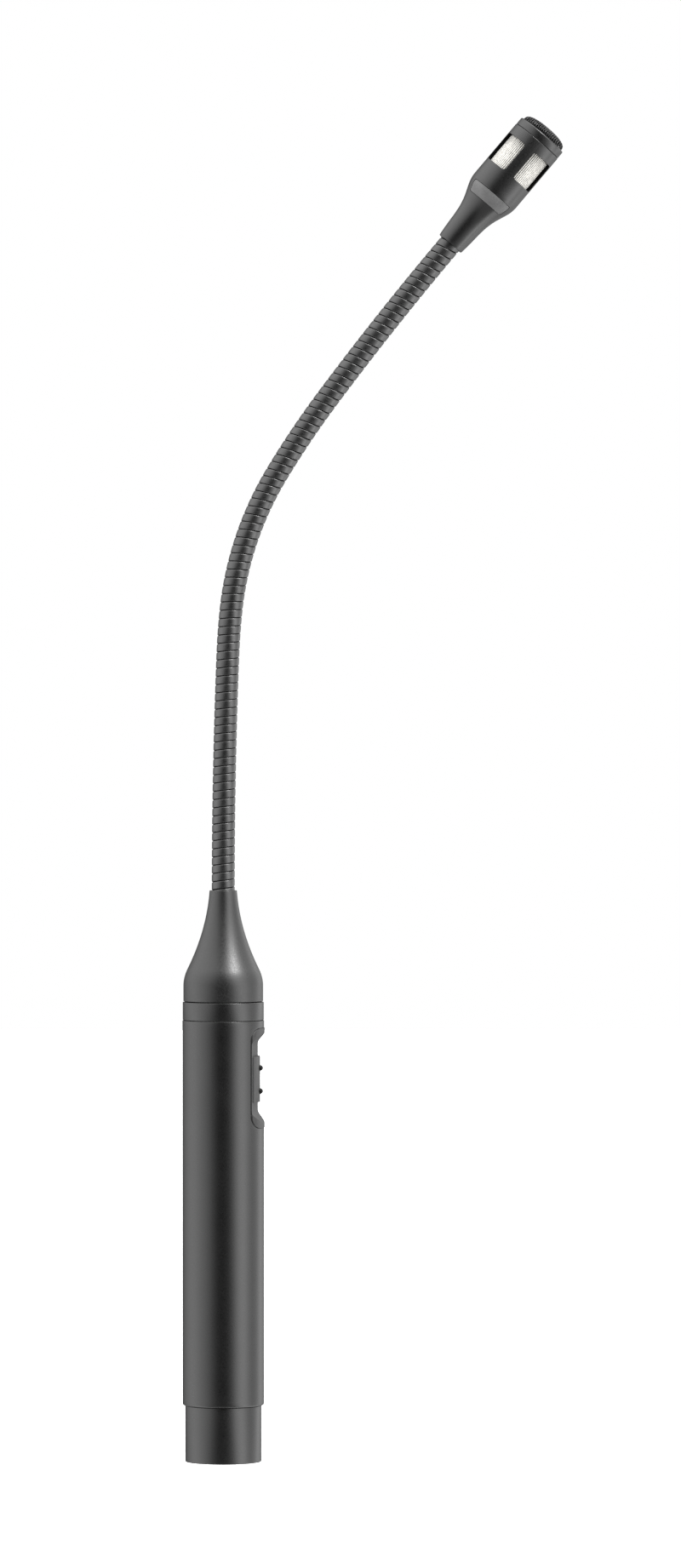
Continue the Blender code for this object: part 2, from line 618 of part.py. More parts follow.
def build_electronics(switch_frame):
    box("preamp_board", (BOARD_INNER, -BOARD_HALF_WIDTH, BOARD_BOTTOM),
        (BOARD_OUTER, BOARD_HALF_WIDTH, BOARD_TOP), "board_green", switch_frame)
    slot = rectangle((BOARD_OUTER - BOARD_INNER) / 2 + GAP, BOARD_HALF_WIDTH + GAP,
                     ((BOARD_OUTER + BOARD_INNER) / 2, 0.0))
    for name, radius, height in (("lower_board_carrier", LOWER_BORE - GAP, LOWER_CARRIER),
                                 ("upper_board_carrier", UPPER_BORE - GAP, UPPER_CARRIER)):
        carrier = flat(name, [circle(radius, ROUND_STEPS), slot, circle(CABLE_HOLE, SMALL_STEPS)],
                       CARRIER_THICKNESS, "white_nylon", switch_frame)
        carrier.location.z = height
    box("output_transformer", *TRANSFORMER, "steel", switch_frame, 2 * EDGE)
    for number, height in enumerate(CAPACITOR_HEIGHTS, 1):
        capacitor = rod("coupling_capacitor_%d" % number, CAPACITOR_RADIUS, 0.0, CAPACITOR_LENGTH,
                        "capacitor_blue", switch_frame, edge=EDGE)
        capacitor.rotation_euler = (0.0, -math.pi / 2, 0.0)
        capacitor.location = (BOARD_INNER - GAP, 0.0, height)
    box("amplifier_chip", *AMPLIFIER_CHIP, "insert_black", switch_frame, EDGE / 2)
    box("cable_header", *CABLE_HEADER, "white_nylon", switch_frame, EDGE)


def build_neck():
    """Returns the last hinge's empty, which carries the head."""
    parent = None
    start, cable_start = -NECK_FOOT, -CABLE_FOOT
    for index in range(HINGE_COUNT + 1):
        last = index == HINGE_COUNT
        end = NECK_LENGTH + HEAD_NECK_END if last else hinge_length(index)
        cable_end = NECK_LENGTH + HEAD_CABLE_END if last else end - CABLE_GAP
        neck_casing("neck_section_%d" % (index + 1), start, end, index > 0, not last, parent)
        neck_cable("neck_cable_%d" % (index + 1), cable_start, cable_end, parent)
        if not last:
            parent = frame_empty("neck_hinge_%d" % (index + 1), neck_frame(end), parent)
            start, cable_start = end, end + CABLE_GAP
    return parent


def build_head(last_hinge):
    head = frame_empty("head_frame", neck_frame(NECK_LENGTH), last_hinge)
    forward = -math.pi / 2

    surface = flare(HEAD_BASE_RADIUS, HEAD_SLOPES)
    barrel = surface[-1][1]
    outside = [(radius, max(length, HOUSING_BOTTOM)) for length, radius in surface]
    ferrule_bottom, ferrule_top, ferrule_radius = HEAD_FERRULE
    pocket = ferrule_radius + GAP
    housing = turned("head_housing", [(barrel - EDGE / 2, HOUSING_TOP), (barrel, HOUSING_TOP - EDGE / 2)]
                     + list(reversed(outside)) + [
        (NECK_SLEEVE, HOUSING_BOTTOM), (NECK_SLEEVE, ferrule_bottom - GAP), (pocket, ferrule_bottom - GAP),
        (pocket, ferrule_top + GAP), (HOUSING_BORE, ferrule_top + GAP + HOUSING_BORE - pocket),
        (HOUSING_BORE, HOUSING_TOP)], "satin_black", head)
    ring("head_ferrule", ferrule_radius, NECK_SLEEVE, ferrule_bottom, ferrule_top, "brass", head, 32)

    for number in range(WINDOW_COUNT):
        facing = forward + 2 * math.pi * (number + 0.5) / WINDOW_COUNT
        window = sector("window_cutter_%d" % (number + 1), [
            (HOUSING_BORE - 0.5 * MM, WINDOW_BOTTOM), (barrel + 1.0 * MM, WINDOW_BOTTOM),
            (barrel + 1.0 * MM, WINDOW_TOP), (HOUSING_BORE - 0.5 * MM, WINDOW_TOP)],
            facing, WINDOW_HALF_ANGLE, 9, None, head)
        cut(housing, window)

    def surface_radius(height):
        for (low, low_radius), (high, high_radius) in zip(surface, surface[1:]):
            if height <= high:
                return low_radius + (high_radius - low_radius) * (height - low) / (high - low)
        return barrel

    def shoulder(bottom, top, depth):
        heights = [bottom + (top - bottom) * i / 3 for i in range(4)]
        return [(surface_radius(h) - depth, h) for h in heights]

    pocket_floor = shoulder(PAD_BOTTOM, PAD_TOP, PAD_DEPTH)
    pad_cutter = sector("pad_cutter", pocket_floor + [(barrel + 1.0 * MM, PAD_TOP),
                                                      (barrel + 1.0 * MM, PAD_BOTTOM)],
                        forward, PAD_HALF_ANGLE, 12, None, head)
    cut(housing, pad_cutter)
    front = shoulder(PAD_BOTTOM + GAP, PAD_TOP - GAP, 0.0)
    back = shoulder(PAD_BOTTOM + GAP, PAD_TOP - GAP, PAD_THICKNESS)
    sector("name_plate", front + list(reversed(back)), forward, PAD_HALF_ANGLE - GAP / barrel, 12,
           "plate_grey", head)

    bottom, top, outer, inner = SCREEN
    ring("window_screen", outer, inner, bottom, top, "screen_silver", head)
    bottom, top, outer, inner = REAR_GASKET
    ring("rear_capsule_gasket", outer, inner, bottom, top, "rubber", head, 32)
    bottom, top, outer, inner = FRONT_GASKET
    ring("front_capsule_gasket", outer, inner, bottom, top, "rubber", head, 32)
    bottom, top, radius = CAPSULE
    rod("capsule", radius, bottom, top, "brass", head, 32, EDGE)
    bottom, top, radius = CAPSULE_BOARD
    rod("capsule_board", radius, bottom, top, "board_green", head, 32)
    bottom, top, radius = FOAM
    rod("front_foam", radius, bottom, top, "foam", head, 24)

    seat = HOUSING_BORE - GAP
    foot = FRONT_RING_BOTTOM - FRONT_SPIGOT_DEPTH
    wall = seat - FRONT_SPIGOT_WALL
    turned("front_ring", [
        (FRONT_RING_MOUTH + 0.1 * MM, FRONT_RING_TOP), (FRONT_RING_RADIUS, FRONT_RING_TOP - EDGE),
        (FRONT_RING_RADIUS, FRONT_RING_BOTTOM), (seat, FRONT_RING_BOTTOM), (seat, foot), (wall, foot),
        (wall, FRONT_SEAT),
        (FRONT_RING_MOUTH, FRONT_SEAT), (FRONT_RING_MOUTH, FRONT_RING_TOP)], "satin_black", head)

    def dome(radius, rise, count):
        angles = [math.pi / 2 * i / count for i in range(count + 1)]
        power = 2 / GRILLE_POWER
        return [(radius * max(0.0, math.sin(t)) ** power,
                 GRILLE_SHOULDER + rise * max(0.0, math.cos(t)) ** power) for t in angles]

    rise = GRILLE_TOP - GRILLE_SHOULDER
    foot = FRONT_SEAT + GAP
    outside = dome(GRILLE_RADIUS, rise, 6)
    inside = dome(GRILLE_RADIUS - GRILLE_WALL, rise - GRILLE_WALL, 5)
    turned("front_grille", outside + [(GRILLE_RADIUS, foot), (GRILLE_RADIUS - GRILLE_WALL, foot)]
           + list(reversed(inside)), "gloss_black", head, closed=False)


def main():
    switch_frame = frame_empty("switch_frame", Matrix.Rotation(SWITCH_TURN, 4, "Z"))
    shell = build_plug()
    build_body(shell, switch_frame)
    build_switches(switch_frame)
    build_electronics(switch_frame)
    build_head(build_neck())


main()
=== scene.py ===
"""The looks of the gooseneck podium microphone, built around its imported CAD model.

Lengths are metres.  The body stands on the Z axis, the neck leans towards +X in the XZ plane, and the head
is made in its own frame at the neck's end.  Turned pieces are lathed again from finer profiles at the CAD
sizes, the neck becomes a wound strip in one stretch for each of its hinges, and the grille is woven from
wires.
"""

import json
import math

import bmesh
import bpy
from mathutils import Matrix, Vector


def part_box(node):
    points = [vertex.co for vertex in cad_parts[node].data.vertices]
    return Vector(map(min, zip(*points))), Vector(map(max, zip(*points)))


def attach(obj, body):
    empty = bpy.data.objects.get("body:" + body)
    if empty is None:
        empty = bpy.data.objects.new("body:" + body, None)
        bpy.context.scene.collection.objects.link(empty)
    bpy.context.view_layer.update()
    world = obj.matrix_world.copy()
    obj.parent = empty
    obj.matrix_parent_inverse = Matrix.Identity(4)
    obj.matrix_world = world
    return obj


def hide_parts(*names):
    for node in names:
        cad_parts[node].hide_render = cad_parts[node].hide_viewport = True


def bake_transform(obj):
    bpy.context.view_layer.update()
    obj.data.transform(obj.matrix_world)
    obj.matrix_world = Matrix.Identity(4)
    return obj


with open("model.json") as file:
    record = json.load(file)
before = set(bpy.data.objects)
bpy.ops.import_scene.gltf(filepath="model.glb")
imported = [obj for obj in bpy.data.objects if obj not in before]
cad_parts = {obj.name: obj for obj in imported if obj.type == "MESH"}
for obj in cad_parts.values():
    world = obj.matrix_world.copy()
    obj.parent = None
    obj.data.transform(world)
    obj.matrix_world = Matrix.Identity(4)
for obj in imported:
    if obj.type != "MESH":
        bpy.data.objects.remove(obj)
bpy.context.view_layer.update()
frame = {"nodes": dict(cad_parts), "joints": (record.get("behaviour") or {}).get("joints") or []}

MM = 0.001
LATHE_STEPS = 144
SHARP = math.radians(32.0)
BEVEL_ANGLE = math.radians(38.0)    # edges sharper than this are rounded after a cut
SLIVER = 0.002 * MM                 # vertices nearer than this are merged after a cut

# The neck's centreline: arc length in mm from the cap's top, and lean in degrees, linear in between
NECK_LEANS = ((0.0, 0.0), (58.9, 2.3), (69.2, 5.8), (105.5, 31.1), (127.8, 36.7), (176.8, 40.2))
NECK_LENGTH = NECK_LEANS[-1][0] * MM

# How fast a surface widens: distance in mm from its narrow end, and slope, linear in between
CONE_SLOPES = ((0.0, 0.07), (19.5, 0.4925), (23.6, 0.0))
HEAD_SLOPES = ((0.0, 0.12), (5.3, 0.055), (8.0, 0.12), (12.6, 0.40), (14.4, 0.39), (17.6, 0.0))

SWITCH_TURN = math.radians(-6.3)    # the switches face +X, turned this far about the body's axis
FRONT = -math.pi / 2                # the direction, about an upright axis, that the front faces


# ---------------------------------------------------------------- geometry helpers

def neck_frame(length, top):
    """The neck's frame at an arc length: its Z axis runs along the neck, and its Y axis is world Y."""
    if length < 0.0:
        return Matrix.Translation((0.0, 0.0, top + length))
    x, z, lean = 0.0, top, 0.0
    for (near, near_lean), (far, far_lean) in zip(NECK_LEANS, NECK_LEANS[1:]):
        stretch = min(length, far * MM) - near * MM
        if stretch <= 0.0:
            break
        bend = math.radians(far_lean - near_lean) / ((far - near) * MM)
        start = math.radians(near_lean)
        lean = start + bend * stretch
        x += (math.cos(start) - math.cos(lean)) / bend
        z += (math.sin(lean) - math.sin(start)) / bend
    beyond = max(0.0, length - NECK_LENGTH)
    return (Matrix.Translation((x + beyond * math.sin(lean), 0.0, z + beyond * math.cos(lean)))
            @ Matrix.Rotation(lean, 4, "Y"))


class Turned:
    """How far a CAD node reaches along and around the Z axis of a frame."""

    def __init__(self, node, matrix=Matrix.Identity(4)):
        inverse = matrix.inverted()
        points = [inverse @ v.co for v in frame["nodes"][node].data.vertices]
        radii = [math.hypot(p.x, p.y) for p in points]
        self.bottom = min(p.z for p in points)
        self.top = max(p.z for p in points)
        self.outer = max(radii)
        self.inner = min(radii)


CONE = Turned("tapered_cap")
CONE_TOP = CONE.top
HEAD = neck_frame(NECK_LENGTH, CONE_TOP)
SWITCH = Matrix.Rotation(SWITCH_TURN, 4, "Z")


def new_piece(name, shape, sharp=SHARP):
    """Turns a finished bmesh into a smooth object that keeps its sharp edges."""
    bmesh.ops.recalc_face_normals(shape, faces=shape.faces)
    mesh = bpy.data.meshes.new(name)
    shape.to_mesh(mesh)
    shape.free()
    mesh.shade_smooth()
    mesh.set_sharp_from_angle(angle=sharp)
    piece = bpy.data.objects.new(name, mesh)
    bpy.context.scene.collection.objects.link(piece)
    return piece


def circle(radius, height, steps):
    turns = [2 * math.pi * i / steps for i in range(steps)]
    return [Vector((radius * math.cos(t), radius * math.sin(t), height)) for t in turns]


def join_rows(shape, near, far):
    """Joins two closed rows of vertices with a band of faces, which it returns."""
    ahead = list(range(1, len(near))) + [0]
    return [shape.faces.new((near[i], near[j], far[j], far[i])) for i, j in enumerate(ahead)]


def lathe(name, profile, matrix=Matrix.Identity(4), steps=LATHE_STEPS, closed=True):
    """Turns (radius, height) points about a frame's Z axis; an open profile starts and ends on the axis."""
    shape = bmesh.new()
    rows = []
    for radius, height in profile:
        if radius < 1e-9:
            rows.append([shape.verts.new(matrix @ Vector((0.0, 0.0, height)))])
            continue
        rows.append([shape.verts.new(matrix @ point) for point in circle(radius, height, steps)])
    pairs = list(zip(rows, rows[1:])) + ([(rows[-1], rows[0])] if closed else [])
    for upper, lower in pairs:
        for i in range(steps):
            j = (i + 1) % steps
            corners = [upper[i % len(upper)], upper[j % len(upper)], lower[j % len(lower)],
                       lower[i % len(lower)]]
            shape.faces.new(list(dict.fromkeys(corners)))
    return new_piece(name, shape)


def arc(centre, radius, start, end, steps=5):
    """Points of a profile's round corner, between two directions in degrees from the radius axis."""
    turns = [math.radians(start + (end - start) * i / steps) for i in range(steps + 1)]
    return [(centre[0] + radius * math.cos(t), centre[1] + radius * math.sin(t)) for t in turns]


def rounded(radius, height, size, corner):
    """A profile's convex outer corner, top or bottom, with its edge rounded to size."""
    if corner == "top":
        return arc((radius - size, height - size), size, 90, 0)
    return arc((radius - size, height + size), size, 0, -90)


def flare(start_radius, slopes, steps=10):
    """Points (length, radius) of a surface that widens by the given slopes."""
    points = [(slopes[0][0] * MM, start_radius)]
    for (near, near_slope), (far, far_slope) in zip(slopes, slopes[1:]):
        stretch = (far - near) * MM
        begin, radius = points[-1]
        for step in range(1, steps + 1):
            share = step / steps
            gained = stretch * share * (near_slope + (far_slope - near_slope) * share / 2)
            points.append((begin + stretch * share, radius + gained))
    return points


def radius_on(points, length):
    """Radius of a flare at a length along it."""
    for (low, low_radius), (high, high_radius) in zip(points, points[1:]):
        if length <= high:
            return low_radius + (high_radius - low_radius) * (length - low) / (high - low)
    return points[-1][1]


def rounded_rectangle(half_x, half_y, corner, centre, steps=8):
    points = []
    for quarter, (side_x, side_y) in enumerate(((1, 1), (-1, 1), (-1, -1), (1, -1))):
        middle = (centre[0] + side_x * (half_x - corner), centre[1] + side_y * (half_y - corner))
        points += arc(middle, corner, 90 * quarter, 90 * quarter + 90, steps)
    return points


def prism(name, outline, low, high, matrix, wrap=None):
    """A solid between two depths of an outline; depth is along X unless wrap places the points."""
    shape = bmesh.new()
    wrap = wrap or (lambda u, v, depth: Vector((depth, u, v)))
    rows = [[shape.verts.new(matrix @ wrap(u, v, depth)) for u, v in outline] for depth in (low, high)]
    join_rows(shape, *rows)
    shape.faces.new(rows[0])
    shape.faces.new(rows[1])
    bmesh.ops.triangulate(shape, faces=[f for f in shape.faces if len(f.verts) > 4])
    return new_piece(name, shape)


def carve(piece, material, cutters, bevel=0.0, segments=2, within=None):
    """Gives a piece its material, keeps only what is within another shape when one is given, cuts the
    cutters out, rounds the sharp edges, merges slivers and removes the other shapes.  Cut faces take a
    cutter's own material where it has one."""
    piece.data.materials.append(material)
    others = [(within, "INTERSECT")] if within else []
    others += [(cutter, "DIFFERENCE") for cutter in cutters]
    for cutter, operation in others:
        if not cutter.data.materials:
            cutter.data.materials.append(material)
        boolean = piece.modifiers.new("cut", "BOOLEAN")
        boolean.operation = operation
        boolean.solver = "EXACT"
        boolean.material_mode = "TRANSFER"
        boolean.object = cutter
    if bevel:
        edges = piece.modifiers.new("edges", "BEVEL")
        edges.width = bevel
        edges.segments = segments
        edges.limit_method = "ANGLE"
        edges.angle_limit = BEVEL_ANGLE
    depsgraph = bpy.context.evaluated_depsgraph_get()
    mesh = bpy.data.meshes.new_from_object(piece.evaluated_get(depsgraph))
    piece.modifiers.clear()
    piece.data = mesh
    cleaned = bmesh.new()
    cleaned.from_mesh(mesh)
    bmesh.ops.remove_doubles(cleaned, verts=cleaned.verts, dist=SLIVER)
    bmesh.ops.dissolve_degenerate(cleaned, edges=cleaned.edges, dist=SLIVER / 2)
    cleaned.to_mesh(mesh)
    cleaned.free()
    mesh.shade_smooth()
    mesh.set_sharp_from_angle(angle=SHARP)
    for cutter, _ in others:
        bpy.data.objects.remove(cutter)


# ---------------------------------------------------------------- materials

def add_node(tree, kind, **settings):
    node = tree.nodes.new(kind)
    for key, value in settings.items():
        setattr(node, key, value)
    return node


def fill_ramp(node, stops):
    """Gives a colour ramp its stops, as positions and colours."""
    elements = node.color_ramp.elements
    while len(elements) < len(stops):
        elements.new(0.5)
    for element, (position, color) in zip(elements, stops):
        element.position = position
        element.color = (*color, 1.0)


def set_value(material, socket, value):
    """Sets a number on a material's shader."""
    material.node_tree.nodes["Principled BSDF"].inputs[socket].default_value = value


class Nodes:
    """A material's node tree with short calls to add and join nodes."""

    def __init__(self, name, roughness, metallic=0.0):
        self.material = bpy.data.materials.new(name)
        self.material.use_nodes = True
        self.tree = self.material.node_tree
        self.shader = self.tree.nodes["Principled BSDF"]
        self.shader.inputs["Roughness"].default_value = roughness
        self.shader.inputs["Metallic"].default_value = metallic
        self.place = self.add("ShaderNodeTexCoord").outputs["Object"]

    def add(self, kind):
        return add_node(self.tree, kind)

    def join(self, output, socket):
        self.tree.links.new(output, socket)

    def noise(self, scale, detail=3.0, stretch=None):
        node = self.add("ShaderNodeTexNoise")
        node.inputs["Scale"].default_value = scale
        node.inputs["Detail"].default_value = detail
        source = self.place
        if stretch:
            mapping = self.add("ShaderNodeMapping")
            mapping.inputs["Scale"].default_value = stretch
            self.join(source, mapping.inputs["Vector"])
            source = mapping.outputs["Vector"]
        self.join(source, node.inputs["Vector"])
        return node.outputs["Fac"]

    def color(self, source, *stops):
        """Blends the shader's colour between stops of the source."""
        node = self.add("ShaderNodeValToRGB")
        fill_ramp(node, stops)
        self.join(source, node.inputs["Fac"])
        self.join(node.outputs["Color"], self.shader.inputs["Base Color"])

    def roughness(self, source, low, high):
        """Spreads the shader's roughness over the middle of the source's range."""
        node = self.add("ShaderNodeMapRange")
        node.inputs["From Min"].default_value = 0.3
        node.inputs["From Max"].default_value = 0.7
        node.inputs["To Min"].default_value = low
        node.inputs["To Max"].default_value = high
        self.join(source, node.inputs["Value"])
        self.join(node.outputs["Result"], self.shader.inputs["Roughness"])

    def bump(self, source, strength, distance):
        node = self.add("ShaderNodeBump")
        node.inputs["Strength"].default_value = strength
        node.inputs["Distance"].default_value = distance
        self.join(source, node.inputs["Height"])
        self.join(node.outputs["Normal"], self.shader.inputs["Normal"])


def grey(value, warmth=0.0):
    """A grey that leans towards yellow by its warmth."""
    return (value * (1 + 0.4 * warmth), value, value * (1 - warmth))


def satin_lacquer(name, dark, light, roughness=(0.27, 0.34), grain=3200.0, strength=0.1, detail=2.0):
    """Satin black plating over turned metal: faint cloudy tone, and a fine speckle in its gloss."""
    nodes = Nodes(name, roughness[0])
    nodes.shader.inputs["IOR"].default_value = 1.72
    nodes.color(nodes.noise(140.0, 5.0), (0.35, grey(dark)), (0.7, grey(light)))
    speckle = nodes.noise(grain, detail)
    nodes.roughness(speckle, *roughness)
    nodes.bump(speckle, strength, 0.02 * MM)
    return nodes.material


def spring_steel(name):
    """Blackened spring strip, drawn along its length."""
    nodes = Nodes(name, 0.32)
    nodes.shader.inputs["IOR"].default_value = 1.85
    nodes.color(nodes.noise(260.0, 4.0), (0.3, grey(0.009)), (0.75, grey(0.015)))
    nodes.place = nodes.add("ShaderNodeTexCoord").outputs["UV"]
    drawn = nodes.noise(6.0, 4.0, (1.0, 9.0, 1.0))
    nodes.roughness(drawn, 0.24, 0.42)
    nodes.bump(drawn, 0.16, 0.05 * MM)
    return nodes.material


def plain_metal(name, dark, light, low=0.2, high=0.35, scale=900.0, warmth=0.0, mottle=300.0):
    """Bare or plated metal with fine turning marks across its axis."""
    nodes = Nodes(name, low, 1.0)
    nodes.color(nodes.noise(mottle, 4.0), (0.3, grey(dark, warmth)), (0.7, grey(light, warmth)))
    turned_marks = nodes.noise(scale, 3.0, (1.0, 1.0, 12.0))
    nodes.roughness(turned_marks, low, high)
    nodes.bump(turned_marks, 0.08, 0.02 * MM)
    return nodes.material


def moulded(name, dark, light, low=0.35, high=0.5, scale=2500.0, strength=0.12):
    """Plastic, rubber, nylon or board: a tone that drifts, with a fine moulded grain."""
    nodes = Nodes(name, low)
    nodes.color(nodes.noise(400.0, 4.0), (0.3, dark), (0.7, light))
    grain = nodes.noise(scale, 3.0)
    nodes.roughness(grain, low, high)
    nodes.bump(grain, strength, 0.03 * MM)
    return nodes.material


LACQUER = satin_lacquer("satin_lacquer", 0.005, 0.008, strength=0.035)
CAP_LACQUER = satin_lacquer("cap_lacquer", 0.006, 0.010, (0.33, 0.42), 2900.0, 0.2, 0.0)
RECESS_LACQUER = satin_lacquer("recess_lacquer", 0.015, 0.022, (0.38, 0.46))
set_value(RECESS_LACQUER, "Specular IOR Level", 0.37)
STRIP = spring_steel("spring_strip")
# painted shade: the windows' side walls get a near-black, almost unreflective coat, darker than the lacquer
# around them, standing in for the shade inside the windows
WINDOW_WALL_SHADE = moulded("window_wall_painted_shade", grey(0.0015), grey(0.003), 0.6, 0.75)
set_value(WINDOW_WALL_SHADE, "Specular IOR Level", 0.04)
PLATE = moulded("name_plate_paint", grey(0.13), grey(0.17), 0.5, 0.62, 1800.0, 0.25)
SCREEN_BRIGHT = plain_metal("screen_rib", 0.66, 0.92, 0.35, 0.5, 1400.0, 0.045, 1300.0)
set_value(SCREEN_BRIGHT, "Metallic", 0.4)
# painted shade: the bottoms of the screen's grooves get a near-black coat in place of the shade that falls
# between the ribs
SCREEN_GROOVE_SHADE = moulded("screen_groove_painted_shade", grey(0.012, 0.03), grey(0.03, 0.03))
WIRE = plain_metal("grille_wire", 0.02, 0.06, 0.14, 0.3, 2600.0)
GLOSS = moulded("lever_gloss", grey(0.004), grey(0.008), 0.08, 0.16, 900.0, 0.03)
set_value(GLOSS, "Specular IOR Level", 0.16)
INSERT = moulded("insert_resin", grey(0.02), grey(0.032))
PIN = plain_metal("pin_plating", 0.62, 0.8, 0.14, 0.28, 1600.0, 0.03)
STEEL = plain_metal("plain_steel", 0.3, 0.45)
BRASS = moulded("turned_brass", (0.5, 0.36, 0.14), (0.62, 0.46, 0.2), 0.25, 0.4)
set_value(BRASS, "Metallic", 1.0)
BOARD = moulded("board_mask", (0.01, 0.09, 0.04), (0.02, 0.13, 0.06), 0.3, 0.45)
NYLON = moulded("natural_nylon", grey(0.6, 0.04), grey(0.75, 0.04), 0.4, 0.5)
SLEEVE = moulded("capacitor_sleeve", (0.02, 0.05, 0.18), (0.03, 0.08, 0.25), 0.2, 0.35)
SHEATH = moulded("cable_sheath", grey(0.1), grey(0.15), 0.5, 0.6)
RUBBER = moulded("gasket_rubber", grey(0.012), grey(0.02), 0.7, 0.85)
FOAM = moulded("open_foam", grey(0.012), grey(0.03), 0.85, 1.0, 1500.0, 0.9)


def dress(piece, material, body, nodes=()):
    """Gives a new piece its material and its body, and hides the CAD nodes that it stands for."""
    if not piece.data.materials:
        piece.data.materials.append(material)
    if body:
        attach(piece, body)
    if nodes:
        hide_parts(*nodes)


# ---------------------------------------------------------------- plug

PLUG_RIM = 0.32 * MM                # round edge at the barrel's open end
PLUG_SHOULDER = 0.1 * MM            # round edge where the barrel meets the tube
PLUG_SPIGOT_WALL = 0.45 * MM
PLUG_SEAT_GAP = 0.05 * MM
PIN_TIP = 1.1 * MM


def make_plug():
    shell = Turned("plug_shell")
    bore = shell.inner
    seat = Turned("body_tube").bottom - PLUG_SEAT_GAP
    profile = ([(bore + PLUG_SPIGOT_WALL, shell.top), (bore + PLUG_SPIGOT_WALL, seat)]
               + rounded(shell.outer, seat, PLUG_SHOULDER, "top")
               + rounded(shell.outer, shell.bottom, PLUG_RIM, "bottom")
               + arc((bore + PLUG_RIM, shell.bottom + PLUG_RIM), PLUG_RIM, -90, -180)
               + [(bore, shell.top)])
    dress(lathe("plug_barrel", profile), LACQUER, "base", ["plug_shell"])

    for number in (1, 2, 3):
        node = "plug_pin_%d" % number
        low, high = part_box(node)
        centre = (low + high) / 2
        radius = (high.y - low.y) / 2
        turns = [math.pi / 2 * i / 8 for i in range(1, 8)]
        outline = ([(0.0, high.z), (radius, high.z), (radius, low.z + PIN_TIP)]
                   + [(radius * math.cos(t), low.z + PIN_TIP - PIN_TIP * math.sin(t)) for t in turns]
                   + [(0.0, low.z)])
        pin = lathe("contact_pin_%d" % number, outline, Matrix.Translation((centre.x, centre.y, 0.0)),
                    32, False)
        dress(pin, PIN, "base", [node])


# ---------------------------------------------------------------- body, ring and cap

SEAM = 0.1 * MM                     # the ring reaches this far past its CAD ends, into the seams beside it
TUBE_TOP_EDGE = 0.14 * MM
TUBE_FOOT_EDGE = 0.5 * MM
TUBE_BEVEL = 0.07 * MM              # on the edges of the openings in the tube
RING_EDGE = 0.16 * MM
GUARDS = (0.35 * MM, 0.7 * MM)      # rings of vertices this far from the opening keep its shading near it
SCREW_GUARD = 1.6 * MM              # and this far from the middle of the set screw's hole
SCREW_HOLE_RADIUS = 1.2 * MM

RECESS_FILLET = 1.6 * MM
RECESS_PLANE = 7.9 * MM             # how far the recess's flat bottom is from the body's axis
RECESS_SPAN = (87.3 * MM, 103.6 * MM)
RECESS_SLOPE = math.radians(45.0)
SURROUND_HALF_WIDTH = 6.3 * MM
SURROUND_CORNER = 2.7 * MM
SURROUND_BEVEL = 0.06 * MM
SURROUND_FIT = (0.05 * MM, 0.05 * MM)   # how far the surround reaches past that outline, across and along
OPENING_FIT = (0.33 * MM, 0.14 * MM)    # and how far the tube's opening does
CLEAR = 1.0 * MM                    # how far a cutter reaches past what it cuts

PLATE_HALF_WIDTH = 4.45 * MM
PLATE_CORNER = 0.4 * MM
PLATE_BEVEL = 0.1 * MM
PLATE_LIFT = 0.02 * MM              # keeps the plate's back off the recess's bottom
PLATE_SLOT_HALF_WIDTH = 0.48 * MM
PLATE_SLOT_CORNER = 0.95 * PLATE_SLOT_HALF_WIDTH
SLOT_HALF_WIDTH = 0.8 * MM
SLOT_LENGTH = 3.0 * MM
SLOT_CORNER = 0.3 * MM
LEVER_TRAVEL = 1.5 * MM
LEVER_LIFT = 0.03 * MM              # keeps a lever's knob off the plate
STEM_SHARE = 0.6                    # a lever's stem, as a share of its knob's radius

CAP_MOUTH = 3.4 * MM                # the cap's radius at its top
CAP_LIP = 0.14 * MM
CAP_BORE_DEPTH = 6.0 * MM           # from the cap's top to where its bore starts to widen
CAP_TAPER = 2.0 * MM
CAP_CAVITY = 5.6 * MM
CAP_CAVITY_DEPTH = 6.0 * MM         # above the ring
CAP_SPIGOT_FIT = 0.05 * MM


def lever_slots():
    """Middle heights of the two slots: each lever rests at its slot's outer end."""
    upper, lower = (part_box(word + "_switch_lever") for word in ("upper", "lower"))
    return ((upper[0].z + upper[1].z) / 2 - LEVER_TRAVEL / 2,
            (lower[0].z + lower[1].z) / 2 + LEVER_TRAVEL / 2)


def recess_outline(radius):
    """The recess from the side, as (distance from the axis, height): a flat bottom and two slopes."""
    clear_plane = radius + 2 * CLEAR
    points = []
    for end, sign in zip(RECESS_SPAN, (-1, 1)):
        bend = []
        for step in range(9):
            turn = RECESS_SLOPE * step / 8
            bend.append((RECESS_PLANE + RECESS_FILLET * (1 - math.cos(turn)),
                         end + sign * RECESS_FILLET * math.sin(turn)))
        out, height = bend[-1]
        bend.append((clear_plane, height + sign * (clear_plane - out)))
        points += bend if sign > 0 else list(reversed(bend))
    return points


def surround_prism(name, surround, wider, longer, bore):
    """The surround's outline, made wider and longer, as a solid that stands out from the body."""
    outline = rounded_rectangle(SURROUND_HALF_WIDTH + wider, (surround.top - surround.bottom) / 2 + longer,
                                SURROUND_CORNER + wider, (0.0, (surround.top + surround.bottom) / 2), 12)
    return prism(name, outline, 0.5 * bore, bore + 5 * CLEAR, SWITCH)


